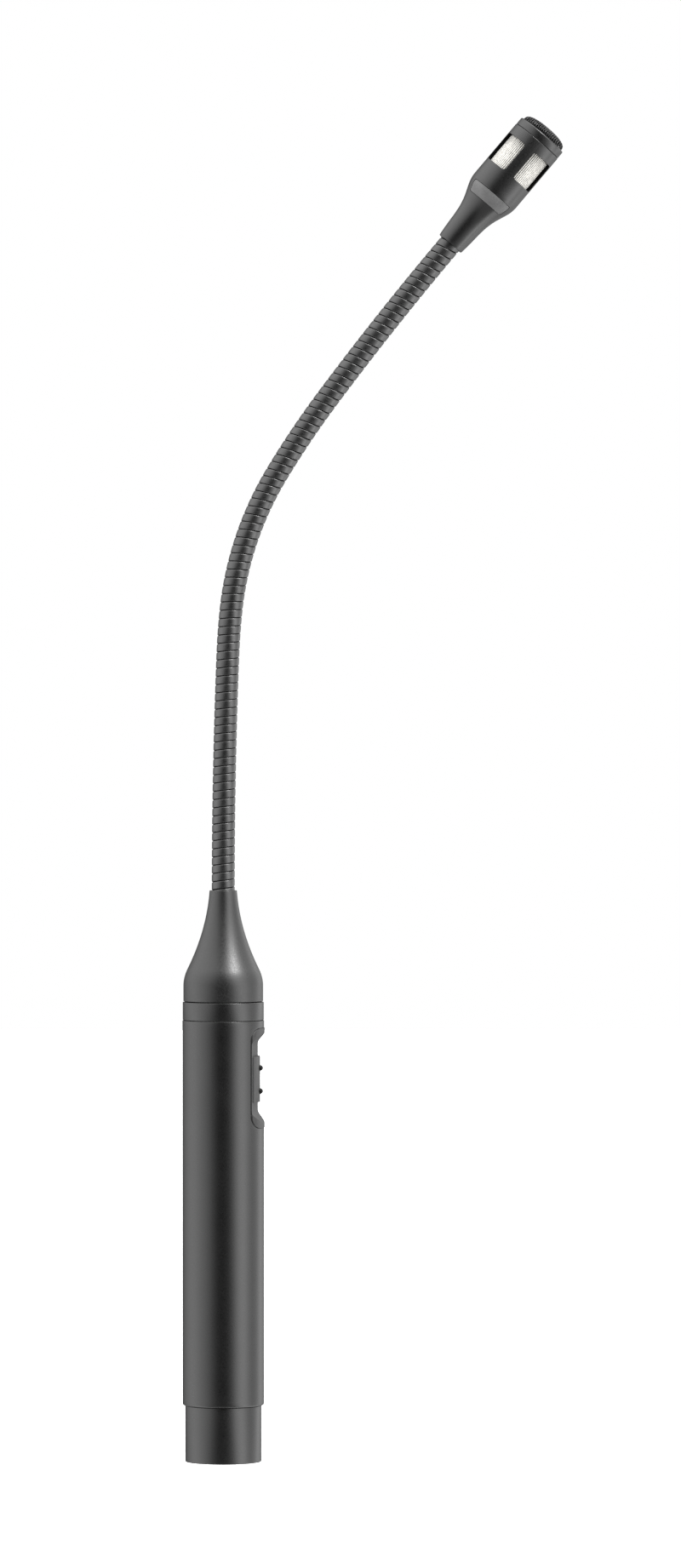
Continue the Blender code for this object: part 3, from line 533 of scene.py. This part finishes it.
def make_body():
    tube = Turned("body_tube")
    surround = Turned("switch_surround")
    bore = tube.inner
    top = Turned("identification_ring").bottom - 2 * SEAM
    low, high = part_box("plug_set_screw")
    hole_height = (low.z + high.z) / 2
    near, far = GUARDS
    guards = (surround.top + far, surround.top + near, surround.bottom - near, surround.bottom - far,
              hole_height + SCREW_GUARD, hole_height - SCREW_GUARD)
    body = lathe("body_barrel", [(bore, top)] + rounded(tube.outer, top, TUBE_TOP_EDGE, "top")
                 + [(tube.outer, height) for height in guards]
                 + rounded(tube.outer, tube.bottom, TUBE_FOOT_EDGE, "bottom") + [(bore, tube.bottom)])

    sideways = SWITCH @ Matrix.Rotation(math.pi / 2, 4, "X")
    cutters = [prism("recess_cutter", recess_outline(tube.outer), -2 * tube.outer, 2 * tube.outer, sideways,
                     lambda u, v, depth: Vector((u, v, depth)))]
    opening = surround_prism("opening_cutter", surround, *OPENING_FIT, bore)
    moulding = surround_prism("moulded_surround", surround, *SURROUND_FIT, bore)
    for number, middle in enumerate(lever_slots()):
        outline = rounded_rectangle(SLOT_HALF_WIDTH, SLOT_LENGTH / 2, SLOT_CORNER, (0.0, middle))
        cutters.append(prism("slot_cutter_%d" % number, outline, bore - CLEAR, RECESS_PLANE + CLEAR,
                             SWITCH))
    above, below = surround.top + CLEAR, surround.bottom - CLEAR
    sleeve = lathe("surround_shape", [(surround.outer, above), (surround.outer, below), (bore, below),
                                      (bore, above)])
    carve(moulding, RECESS_LACQUER, cutters, SURROUND_BEVEL, 2, sleeve)
    dress(moulding, RECESS_LACQUER, "base", ["switch_surround"])

    backwards = Matrix.Translation((0.0, 0.0, hole_height)) @ Matrix.Rotation(-math.pi / 2, 4, "X")
    outer, inner = high.y + 2 * CLEAR, low.y - CLEAR
    hole = lathe("hole_cutter", [(0.0, outer), (SCREW_HOLE_RADIUS, outer), (SCREW_HOLE_RADIUS, inner),
                                 (0.0, inner)], backwards, 40, False)
    carve(body, LACQUER, [opening, hole], TUBE_BEVEL)
    dress(body, LACQUER, "base", ["body_tube"])


def make_ring():
    ring = Turned("identification_ring")
    top, bottom = ring.top + SEAM, ring.bottom - SEAM
    profile = ([(ring.inner, top)] + rounded(ring.outer, top, RING_EDGE, "top")
               + rounded(ring.outer, bottom, RING_EDGE, "bottom") + [(ring.inner, bottom)])
    dress(lathe("blank_ring", profile), LACQUER, "base", ["identification_ring"])


def make_cap():
    """The flared cap, with a spigot inside the ring that keeps light out of the seams."""
    ring = Turned("identification_ring")
    bore = Turned("neck_ferrule").inner
    surface = flare(CAP_MOUTH, CONE_SLOPES)
    foot = ring.top + 3 * SEAM
    spigot = ring.inner - CAP_SPIGOT_FIT
    waist = CONE_TOP - CAP_BORE_DEPTH
    profile = ([(bore, waist), (bore, CONE_TOP - CAP_LIP), (bore + CAP_LIP, CONE_TOP)]
               + rounded(CAP_MOUTH, CONE_TOP, CAP_LIP, "top")
               + [(radius, CONE_TOP - length) for length, radius in surface[1:]]
               + rounded(surface[-1][1], foot, CAP_LIP, "bottom")
               + [(spigot, foot), (spigot, CONE.bottom), (CAP_CAVITY, CONE.bottom),
                  (CAP_CAVITY, foot + CAP_CAVITY_DEPTH), (bore, waist - CAP_TAPER)])
    dress(lathe("flared_cap", profile), CAP_LACQUER, "base", ["tapered_cap"])


def make_switches():
    face = Turned("switch_plate")
    outline = rounded_rectangle(PLATE_HALF_WIDTH, (face.top - face.bottom) / 2, PLATE_CORNER,
                                (0.0, (face.top + face.bottom) / 2))
    plate = prism("switch_escutcheon", outline, RECESS_PLANE + PLATE_LIFT, face.outer + CLEAR, SWITCH)
    cutters = []
    for number, height in enumerate(lever_slots()):
        outline = rounded_rectangle(PLATE_SLOT_HALF_WIDTH, PLATE_SLOT_HALF_WIDTH + LEVER_TRAVEL / 2,
                                    PLATE_SLOT_CORNER, (0.0, height))
        cutters.append(prism("plate_slot_%d" % number, outline, RECESS_PLANE - CLEAR,
                             face.outer + 2 * CLEAR, SWITCH))
    above, below = face.top + CLEAR, face.bottom - CLEAR
    shape = lathe("plate_shape", [(0.0, above), (face.outer, above), (face.outer, below), (0.0, below)],
                  closed=False)
    carve(plate, RECESS_LACQUER, cutters, PLATE_BEVEL, 3, shape)
    dress(plate, RECESS_LACQUER, "base", ["switch_plate"])

    waist = face.outer + LEVER_LIFT
    for word in ("upper", "lower"):
        node = word + "_switch_lever"
        low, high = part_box(node)
        place = (SWITCH @ Matrix.Translation((0.0, 0.0, (low.z + high.z) / 2))
                 @ Matrix.Rotation(math.pi / 2, 4, "Y"))
        lever = Turned(node, place)
        stem = STEM_SHARE * lever.outer
        dome = arc((0.0, lever.top - lever.outer), lever.outer, 90, 0, 14)
        profile = ([(0.0, lever.top)] + dome[1:]
                   + [(lever.outer, waist), (stem, waist), (stem, lever.bottom), (0.0, lever.bottom)])
        dress(lathe(word + "_lever_dome", profile, place, 48, False), GLOSS, word + "_lever",
              [node])


# ---------------------------------------------------------------- neck

NECK_PITCH = 2.033 * MM
STRIP_STEPS = 40                    # steps in a turn
STRIP_SHARP = math.radians(40.0)
CORE_STEPS = 24                     # along a hinge's stretch, and round
CORE_RADIUS = 2.3 * MM
BLEND_REACH = 10.6 * MM             # points this far to both sides of a hinge are found, and nothing uses them
TURNS_LAG = math.radians(6.5)       # how far the turns lag behind the neck's lean, past its bend
LAG_SPAN = (60.0 * MM, 112.0 * MM)

# Half of the strip's section: mm along the neck from its middle, and mm from the neck's axis
CROWN = ((0.0, 2.852), (0.4, 2.85), (0.66, 2.842), (0.78, 2.828), (0.85, 2.795), (0.9, 2.74),
         (0.98, 2.58), (0.98, 2.2))
STRIP_SECTION = [(-along, out) for along, out in reversed(CROWN[1:])] + list(CROWN)


def turns_lag(length):
    """The lag at an arc length: none below the bend, rising smoothly along it."""
    share = min(1.0, max(0.0, (length - LAG_SPAN[0]) / (LAG_SPAN[1] - LAG_SPAN[0])))
    return TURNS_LAG * share * share * (3 - 2 * share)


def wound_strip(name, start, end):
    """A strip wound round the neck's centreline from one arc length to another."""
    shape = bmesh.new()
    steps = round((end - start) / NECK_PITCH * STRIP_STEPS)
    rows = []
    for step in range(steps + 1):
        length = start + (end - start) * step / steps
        turn = 2 * math.pi * length / NECK_PITCH
        outward = Vector((math.cos(turn), math.sin(turn), 0.0))
        tilt = math.tan(turns_lag(length)) * math.cos(turn)
        rows.append([shape.verts.new(neck_frame(length + (along + out * tilt) * MM, CONE_TOP)
                                     @ (out * MM * outward)) for along, out in STRIP_SECTION])
    count = len(STRIP_SECTION)
    drawn = shape.loops.layers.uv.new("drawn")
    for step, (near, far) in enumerate(zip(rows, rows[1:])):
        for i, face in enumerate(join_rows(shape, near, far)):
            for loop, (ahead, across) in zip(face.loops, ((0, i), (0, i + 1), (1, i + 1), (1, i))):
                loop[drawn].uv = ((step + ahead) / STRIP_STEPS, across / count)
    shape.faces.new(rows[0])
    shape.faces.new(rows[-1])
    return new_piece(name, shape, STRIP_SHARP)


def neck_core(name, start, end):
    """The inner spring's dark surface, which closes the bottom of the grooves."""
    shape = bmesh.new()
    rows = []
    for step in range(CORE_STEPS + 1):
        place = neck_frame(start + (end - start) * step / CORE_STEPS, CONE_TOP)
        rows.append([shape.verts.new(place @ point) for point in circle(CORE_RADIUS, 0.0, CORE_STEPS)])
    for near, far in zip(rows, rows[1:]):
        join_rows(shape, near, far)
    shape.faces.new(rows[0])
    shape.faces.new(rows[-1])
    return new_piece(name, shape)


def make_neck():
    """One stretch of winding for each hinge; the first and last run on into the cap and the head."""
    hinges = [j for j in frame["joints"] if j["name"].startswith("neck_")]
    count = len(hinges)
    for number, hinge in enumerate(hinges, 1):
        start = NECK_LENGTH * (number - 1) / count if number > 1 else -2 * NECK_PITCH
        end = NECK_LENGTH * number / count if number < count else NECK_LENGTH + 2 * NECK_PITCH
        middle = NECK_LENGTH * (number - 0.5) / count
        before = neck_frame(middle - BLEND_REACH, CONE_TOP).translation
        after = neck_frame(middle + BLEND_REACH, CONE_TOP).translation
        nodes = ["neck_section_%d" % n for n in ([number] if number < count else [count, count + 1])]
        strip = wound_strip("neck_winding_%d" % number, start, end)
        core = neck_core("neck_core_%d" % number, start, end)
        dress(strip, STRIP, None, nodes)
        dress(core, RUBBER, None)
        for piece in (strip, core):
            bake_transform(piece)


# ---------------------------------------------------------------- head

HEAD_STEPS = 192
HEAD_EDGE = 0.12 * MM
HEAD_SEAM = 0.08 * MM               # between the housing and the ring at its mouth
RING_SPIGOT = 0.65 * MM             # the part of that ring that is inside the housing
HEAD_FOOT = 3.48 * MM               # the head's radius at its foot
HEAD_FOOT_CHAMFER = 0.1 * MM
HEAD_SURFACE = flare(HEAD_FOOT, HEAD_SLOPES, 12)
HEAD_HOLLOW = ((3.1, 11.0), (4.3, 12.0), (4.3, 15.6))   # radius and height in mm, from the ferrule up
HEAD_BORE_START = 17.6 * MM

WINDOWS = 4
WINDOW_SPAN = (22.29 * MM, 30.56 * MM)
WINDOW_HALF_ANGLE = math.radians(33.15)
WINDOW_CORNER = 0.85 * MM
WINDOW_STEP = math.radians(3.0)
PAD_SPAN = (13.2 * MM, 16.4 * MM)
PAD_HALF_ANGLE = math.radians(58.0)
PAD_CORNER = 0.55 * MM
PAD_SEAM = 0.1 * MM
PAD_DEPTHS = (-0.45 * MM, -0.05 * MM)   # of the blank plate's back and front, off the head's surface
POCKET_DEPTHS = (-0.5 * MM, 1.2 * MM)   # and of the cutter for its pocket
PAD_GRID = (16, 56)                 # rows and columns

SCREEN_RIBS = 72
SCREEN_FIT = 0.31 * MM              # between the screen and the housing's bore
GROOVE_DEPTH = 0.14 * MM            # how far the bottom of a groove is below the CAD screen's radius

# A rib and its groove: share of the ribs' pitch, and mm above the bottom of the groove
RIB = ((0.0, 0.0), (0.05, 0.26), (0.16, 0.34), (0.54, 0.34), (0.65, 0.26), (0.70, 0.0))
RIB_SHARP = math.radians(50.0)

MOUTH_CHAMFER = 0.16 * MM
MOUTH_EDGE = 0.3 * MM
MOUTH_FLAT = 0.04 * MM              # between that edge and the ring's flat face
MOUTH_LEDGE = 0.35 * MM
GRILLE_FIT = 0.25 * MM


def wrapped(facing):
    """Wraps (arc at unit radius, height) points about the head's axis, with depth as the radius."""
    def wrap(u, v, depth):
        return Vector((depth * math.cos(facing + u), depth * math.sin(facing + u), v))
    return wrap


def curved_plate(name, seam, low, high):
    """The rounded patch on the head's shoulder, between two depths off its surface."""
    shape = bmesh.new()
    wrap = wrapped(FRONT)
    bottom, top = PAD_SPAN[0] + seam, PAD_SPAN[1] - seam
    rows, columns = PAD_GRID
    layers = []
    for depth in (low, high):
        grid = []
        for row in range(rows + 1):
            height = bottom + (top - bottom) * (1 - math.cos(math.pi * row / rows)) / 2
            radius = radius_on(HEAD_SURFACE, height)
            inset = max(0.0, PAD_CORNER - min(height - bottom, top - height))
            side = PAD_CORNER - math.sqrt(max(0.0, PAD_CORNER ** 2 - inset ** 2))
            half = PAD_HALF_ANGLE - (seam + side) / radius
            grid.append([shape.verts.new(HEAD @ wrap(half * (2 * c / columns - 1), height, radius + depth))
                         for c in range(columns + 1)])
        layers.append(grid)
    for grid in layers:
        for near, far in zip(grid, grid[1:]):
            for c in range(columns):
                shape.faces.new((near[c], near[c + 1], far[c + 1], far[c]))
    rims = [grid[0] + [row[-1] for row in grid[1:-1]] + list(reversed(grid[-1]))
            + [row[0] for row in reversed(grid[1:-1])] for grid in layers]
    join_rows(shape, *rims)
    return new_piece(name, shape)


def window_outline(barrel):
    """One window's outline, in arcs at unit radius and heights, with points all along its long sides."""
    outline = [(u / barrel, v) for u, v in rounded_rectangle(
        WINDOW_HALF_ANGLE * barrel, (WINDOW_SPAN[1] - WINDOW_SPAN[0]) / 2, WINDOW_CORNER,
        (0.0, sum(WINDOW_SPAN) / 2), 10)]
    dense = []
    for (u, v), (next_u, next_v) in zip(outline, outline[1:] + outline[:1]):
        pieces = max(1, round(abs(next_u - u) / WINDOW_STEP))
        dense += [(u + (next_u - u) * i / pieces, v + (next_v - v) * i / pieces) for i in range(pieces)]
    return dense


def make_housing():
    housing = Turned("head_housing", HEAD)
    top = Turned("front_ring", HEAD).bottom + RING_SPIGOT - HEAD_SEAM
    bore = Turned("window_screen", HEAD).outer + SCREEN_FIT
    barrel = HEAD_SURFACE[-1][1]
    outside = [(radius, length) for length, radius in HEAD_SURFACE if length > housing.bottom]
    profile = (rounded(barrel, top, HEAD_EDGE, "top") + list(reversed(outside))
               + [(outside[0][0] - HEAD_FOOT_CHAMFER, housing.bottom),
                  (HEAD_HOLLOW[0][0] * MM, housing.bottom)]
               + [(radius * MM, height * MM) for radius, height in HEAD_HOLLOW]
               + [(bore, HEAD_BORE_START), (bore, top)])
    shell = lathe("head_shell", profile, HEAD, HEAD_STEPS)
    cutters = []
    for number in range(WINDOWS):
        facing = FRONT + 2 * math.pi / WINDOWS * (number + 0.5)
        cutter = prism("window_%d" % number, window_outline(barrel), bore - 0.5 * CLEAR,
                       barrel + 2.5 * CLEAR, HEAD, wrapped(facing))
        # the window's side walls take the painted-shade coat
        cutter.data.materials.append(WINDOW_WALL_SHADE)
        cutters.append(cutter)
    cutters.append(curved_plate("pocket", 0.0, *POCKET_DEPTHS))
    carve(shell, LACQUER, cutters)
    dress(shell, LACQUER, "head", ["head_housing"])

    plate = curved_plate("blank_name_plate", PAD_SEAM, *PAD_DEPTHS)
    dress(plate, PLATE, "head", ["name_plate"])


def make_mouth_ring():
    ring = Turned("front_ring", HEAD)
    low = ring.bottom + RING_SPIGOT
    seat = Turned("front_grille", HEAD).outer + GRILLE_FIT
    profile = ([(seat, ring.top - MOUTH_CHAMFER), (seat + MOUTH_CHAMFER, ring.top),
                (ring.outer - MOUTH_EDGE - MOUTH_FLAT, ring.top)]
               + rounded(ring.outer, ring.top, MOUTH_EDGE, "top")[1:]
               + rounded(ring.outer, low, HEAD_EDGE, "bottom")
               + [(ring.inner, low), (ring.inner, low + MOUTH_LEDGE), (seat, low + MOUTH_LEDGE)])
    dress(lathe("mouth_ring", profile, HEAD, HEAD_STEPS), LACQUER, "head",
          ["front_ring"])


def make_screen():
    """The bright sleeve behind the windows, ribbed all round, with painted shade on the bottoms of its
    grooves.
    """
    screen = Turned("window_screen", HEAD)
    shape = bmesh.new()
    wrap = wrapped(0.0)
    outline = [(2 * math.pi * (rib + share) / SCREEN_RIBS, out) for rib in range(SCREEN_RIBS)
               for share, out in RIB]
    outer_low, inner_low, outer_high, inner_high = (
        [shape.verts.new(HEAD @ wrap(turn, height, radius + out * MM * ribbed)) for turn, out in outline]
        for height in (screen.bottom, screen.top)
        for radius, ribbed in ((screen.outer - GROOVE_DEPTH, 1), (screen.inner, 0)))
    for i, face in enumerate(join_rows(shape, outer_low, outer_high)):
        # the groove bottoms take the painted-shade material
        if outline[i][1] == 0.0 and outline[(i + 1) % len(outline)][1] == 0.0:
            face.material_index = 1
    join_rows(shape, inner_high, inner_low)
    join_rows(shape, inner_low, outer_low)
    join_rows(shape, outer_high, inner_high)
    piece = new_piece("ribbed_screen", shape, RIB_SHARP)
    piece.data.materials.append(SCREEN_BRIGHT)
    piece.data.materials.append(SCREEN_GROOVE_SHADE)
    dress(piece, SCREEN_BRIGHT, "head", ["window_screen"])


WIRE_SPACING = 0.56 * MM
WIRE_RADIUS = 0.15 * MM
WIRE_SIDES = 6
WIRE_LIFT = 0.11 * MM               # how far a wire rises and sinks as it weaves
WIRE_FOOT = Vector((0.0, 0.0, -0.7 * MM))   # each end of a wire turns down this far, into the ring
WIRE_SHARP = math.radians(70.0)
WEAVE_STEPS = 8                     # steps of a wire for each wire that it crosses
GRILLE_LIFT = 0.04 * MM             # how far the dome's edge is above the ring
GRILLE_SPREAD = 0.02 * MM           # and how far past the CAD dome's radius
GRILLE_POWER = 2.6                  # 2 would make the dome round, and a higher power flattens its top


def add_wire(shape, path, sideways):
    """A wire along a path of the head's frame, with round sections square to the path."""
    rows = []
    turns = [2 * math.pi * side / WIRE_SIDES for side in range(WIRE_SIDES)]
    for i, point in enumerate(path):
        ahead = path[min(i + 1, len(path) - 1)] - path[max(i - 1, 0)]
        up = ahead.cross(sideways).normalized()
        outward = [math.cos(t) * sideways + math.sin(t) * up for t in turns]
        rows.append([shape.verts.new(HEAD @ (point + WIRE_RADIUS * way)) for way in outward])
    for near, far in zip(rows, rows[1:]):
        join_rows(shape, near, far)
    shape.faces.new(rows[0])
    shape.faces.new(rows[-1])


def make_grille():
    """The woven dome: wires both ways that pass over and under each other."""
    grille = Turned("front_grille", HEAD)
    ring = Turned("front_ring", HEAD)
    shoulder = ring.top + GRILLE_LIFT
    rise = grille.top - shoulder - WIRE_RADIUS - WIRE_LIFT
    edge = grille.outer + GRILLE_SPREAD
    reach = int(edge / WIRE_SPACING)
    shape = bmesh.new()

    def height(x, y):
        share = min(1.0, math.hypot(x, y) / edge)
        return shoulder + rise * (1 - share ** GRILLE_POWER) ** (1 / GRILLE_POWER)

    for across in (0, 1):
        for index in range(-reach, reach + 1):
            offset = (index + 0.5 * across) * WIRE_SPACING
            if abs(offset) >= edge:
                continue
            half = math.sqrt(edge ** 2 - offset ** 2)
            steps = max(1, int(half / WIRE_SPACING)) * WEAVE_STEPS
            path = []
            for step in range(steps + 1):
                along = half * math.sin(math.pi / 2 * (2 * step / steps - 1))
                wave = math.cos(math.pi * along / WIRE_SPACING + math.pi * (index + across))
                x, y = (offset, along) if across else (along, offset)
                path.append(Vector((x, y, height(x, y) + (-WIRE_LIFT if across else WIRE_LIFT) * wave)))
            path = [path[0] + WIRE_FOOT] + path + [path[-1] + WIRE_FOOT]
            add_wire(shape, path, Vector((1.0, 0.0, 0.0) if across else (0.0, 1.0, 0.0)))
    piece = new_piece("woven_grille", shape, WIRE_SHARP)
    dress(piece, WIRE, "head", ["front_grille"])


# ---------------------------------------------------------------- pieces kept from the CAD

KEPT = {
    "plug_insert": INSERT, "plug_set_screw": STEEL, "neck_set_screw": STEEL, "neck_ferrule": BRASS,
    "head_ferrule": BRASS, "capsule": BRASS, "preamp_board": BOARD, "capsule_board": BOARD,
    "lower_board_carrier": NYLON, "upper_board_carrier": NYLON, "cable_header": NYLON,
    "output_transformer": STEEL, "amplifier_chip": INSERT, "upper_switch_block": INSERT,
    "lower_switch_block": INSERT, "rear_capsule_gasket": RUBBER, "front_capsule_gasket": RUBBER,
    "front_foam": FOAM,
}
KEPT.update({"coupling_capacitor_%d" % n: SLEEVE for n in range(1, 5)})
KEPT.update({"neck_cable_%d" % n: SHEATH for n in range(1, 10)})


def finish_kept():
    for node, material in KEPT.items():
        piece = frame["nodes"][node]
        piece.data.materials.clear()
        piece.data.materials.append(material)


# ---------------------------------------------------------------- stage, light and camera

FLOOR_HEIGHT = -0.16
FLOOR_HALF_SIZE = 6.0
STUDIO_STRENGTH = 1.7

# How bright the studio is all round: degrees from the front towards +X, and brightness
STUDIO_RING = ((-180, 0.08), (-150, 0.14), (-128, 0.5), (-105, 0.95), (-86, 1.08), (-70, 0.95), (-50, 0.72),
               (-36, 0.48), (-25, 0.2), (-13, 0.0), (10, 0.0), (20, 0.12), (31, 0.6), (43, 1.4), (60, 1.5),
               (76, 0.85), (90, 0.55), (112, 0.7), (130, 1.05), (150, 0.4), (180, 0.08))
NARROWEST = 0.4                     # how far the ring's directions close in towards the point below

# Light added by height: where it starts and where it is full, as the sine of the elevation, and how much
STUDIO_LEVELS = ((0.15, 0.8, 0.12), (0.8, 0.97, 0.8), (-0.1, -0.65, 0.3))

SOFTBOX_PLACE = Vector((1.05, -0.9, 1.9))
SOFTBOX_AIM = Vector((0.02, 0.0, 0.2))
SOFTBOX_SIZE = 0.85
SOFTBOX_POWER = 38.0

CAMERA_PLACE = Vector((0.0291, -2.15, 0.203))
CAMERA_AIM = Vector((0.0291, 0.0, 0.1683))
CAMERA_LENS = 199.0


def make_floor():
    """A pale floor below the microphone, kept out of its reflections."""
    shape = bmesh.new()
    bmesh.ops.create_grid(shape, x_segments=2, y_segments=2, size=FLOOR_HALF_SIZE)
    floor = new_piece("studio_floor", shape)
    floor.location.z = FLOOR_HEIGHT
    material = bpy.data.materials.new("studio_floor")
    material.use_nodes = True
    shader = material.node_tree.nodes["Principled BSDF"]
    shader.inputs["Base Color"].default_value = (0.9, 0.9, 0.9, 1.0)
    shader.inputs["Emission Color"].default_value = (1.0, 1.0, 1.0, 1.0)
    set_value(material, "Roughness", 0.9)
    set_value(material, "Emission Strength", 0.55)
    floor.data.materials.append(material)
    floor.visible_glossy = False
    floor.visible_diffuse = False


def make_studio():
    """A white studio all round, with a dark opening on the front side; the camera sees it plain white."""
    world = bpy.data.worlds.new("studio")
    bpy.context.scene.world = world
    world.use_nodes = True
    tree = world.node_tree
    tree.nodes.clear()
    link = tree.links.new

    def arithmetic(operation, first, second):
        node = add_node(tree, "ShaderNodeMath", operation=operation)
        for socket, value in zip(node.inputs, (first, second)):
            if isinstance(value, float):
                socket.default_value = value
            else:
                link(value, socket)
        return node.outputs["Value"]

    split = add_node(tree, "ShaderNodeSeparateXYZ")
    link(add_node(tree, "ShaderNodeTexCoord").outputs["Generated"], split.inputs["Vector"])
    upward = split.outputs["Z"]
    spread = arithmetic("MAXIMUM", arithmetic("ADD", upward, 1.0), NARROWEST)
    widened = arithmetic("MULTIPLY", split.outputs["X"], spread)
    forward = arithmetic("MULTIPLY", split.outputs["Y"], -1.0)
    scale = add_node(tree, "ShaderNodeMapRange")
    scale.inputs["From Min"].default_value = -math.pi
    scale.inputs["From Max"].default_value = math.pi
    link(arithmetic("ARCTAN2", widened, forward), scale.inputs["Value"])
    ring = add_node(tree, "ShaderNodeValToRGB")
    fill_ramp(ring, [(0.5 + angle / 360.0, (value,) * 3) for angle, value in STUDIO_RING])
    link(scale.outputs["Result"], ring.inputs["Fac"])
    brightness = ring.outputs["Color"]
    for start, end, value in STUDIO_LEVELS:
        level = add_node(tree, "ShaderNodeMapRange", interpolation_type="SMOOTHSTEP")
        level.inputs["From Min"].default_value = start
        level.inputs["From Max"].default_value = end
        level.inputs["To Max"].default_value = value
        link(upward, level.inputs["Value"])
        brightness = arithmetic("ADD", brightness, level.outputs["Result"])

    light = add_node(tree, "ShaderNodeBackground")
    light.inputs["Strength"].default_value = STUDIO_STRENGTH
    link(brightness, light.inputs["Color"])
    white = add_node(tree, "ShaderNodeBackground")
    white.inputs["Color"].default_value = (1.0, 1.0, 1.0, 1.0)
    mix = add_node(tree, "ShaderNodeMixShader")
    link(add_node(tree, "ShaderNodeLightPath").outputs["Is Camera Ray"], mix.inputs["Fac"])
    link(light.outputs["Background"], mix.inputs[1])
    link(white.outputs["Background"], mix.inputs[2])
    link(mix.outputs["Shader"], add_node(tree, "ShaderNodeOutputWorld").inputs["Surface"])


def aimed(name, data, place, aim):
    """A camera or lamp at a place, turned towards its aim."""
    thing = bpy.data.objects.new(name, data)
    thing.location = place
    thing.rotation_euler = (aim - place).to_track_quat("-Z", "Y").to_euler()
    bpy.context.scene.collection.objects.link(thing)
    return thing


def make_softbox():
    """The soft key light, from the upper right."""
    data = bpy.data.lights.new("key_softbox", "AREA")
    data.shape = "SQUARE"
    data.size = SOFTBOX_SIZE
    data.energy = SOFTBOX_POWER
    aimed("key_softbox", data, SOFTBOX_PLACE, SOFTBOX_AIM)


def make_camera():
    data = bpy.data.cameras.new("camera")
    data.sensor_width = 36.0
    data.lens = CAMERA_LENS
    bpy.context.scene.camera = aimed("camera", data, CAMERA_PLACE, CAMERA_AIM)
    bpy.context.scene.view_settings.view_transform = "Standard"


make_camera()
make_studio()
make_softbox()
make_floor()
make_plug()
make_body()
make_ring()
make_cap()
make_switches()
make_neck()
make_housing()
make_mouth_ring()
make_screen()
make_grille()
finish_kept()
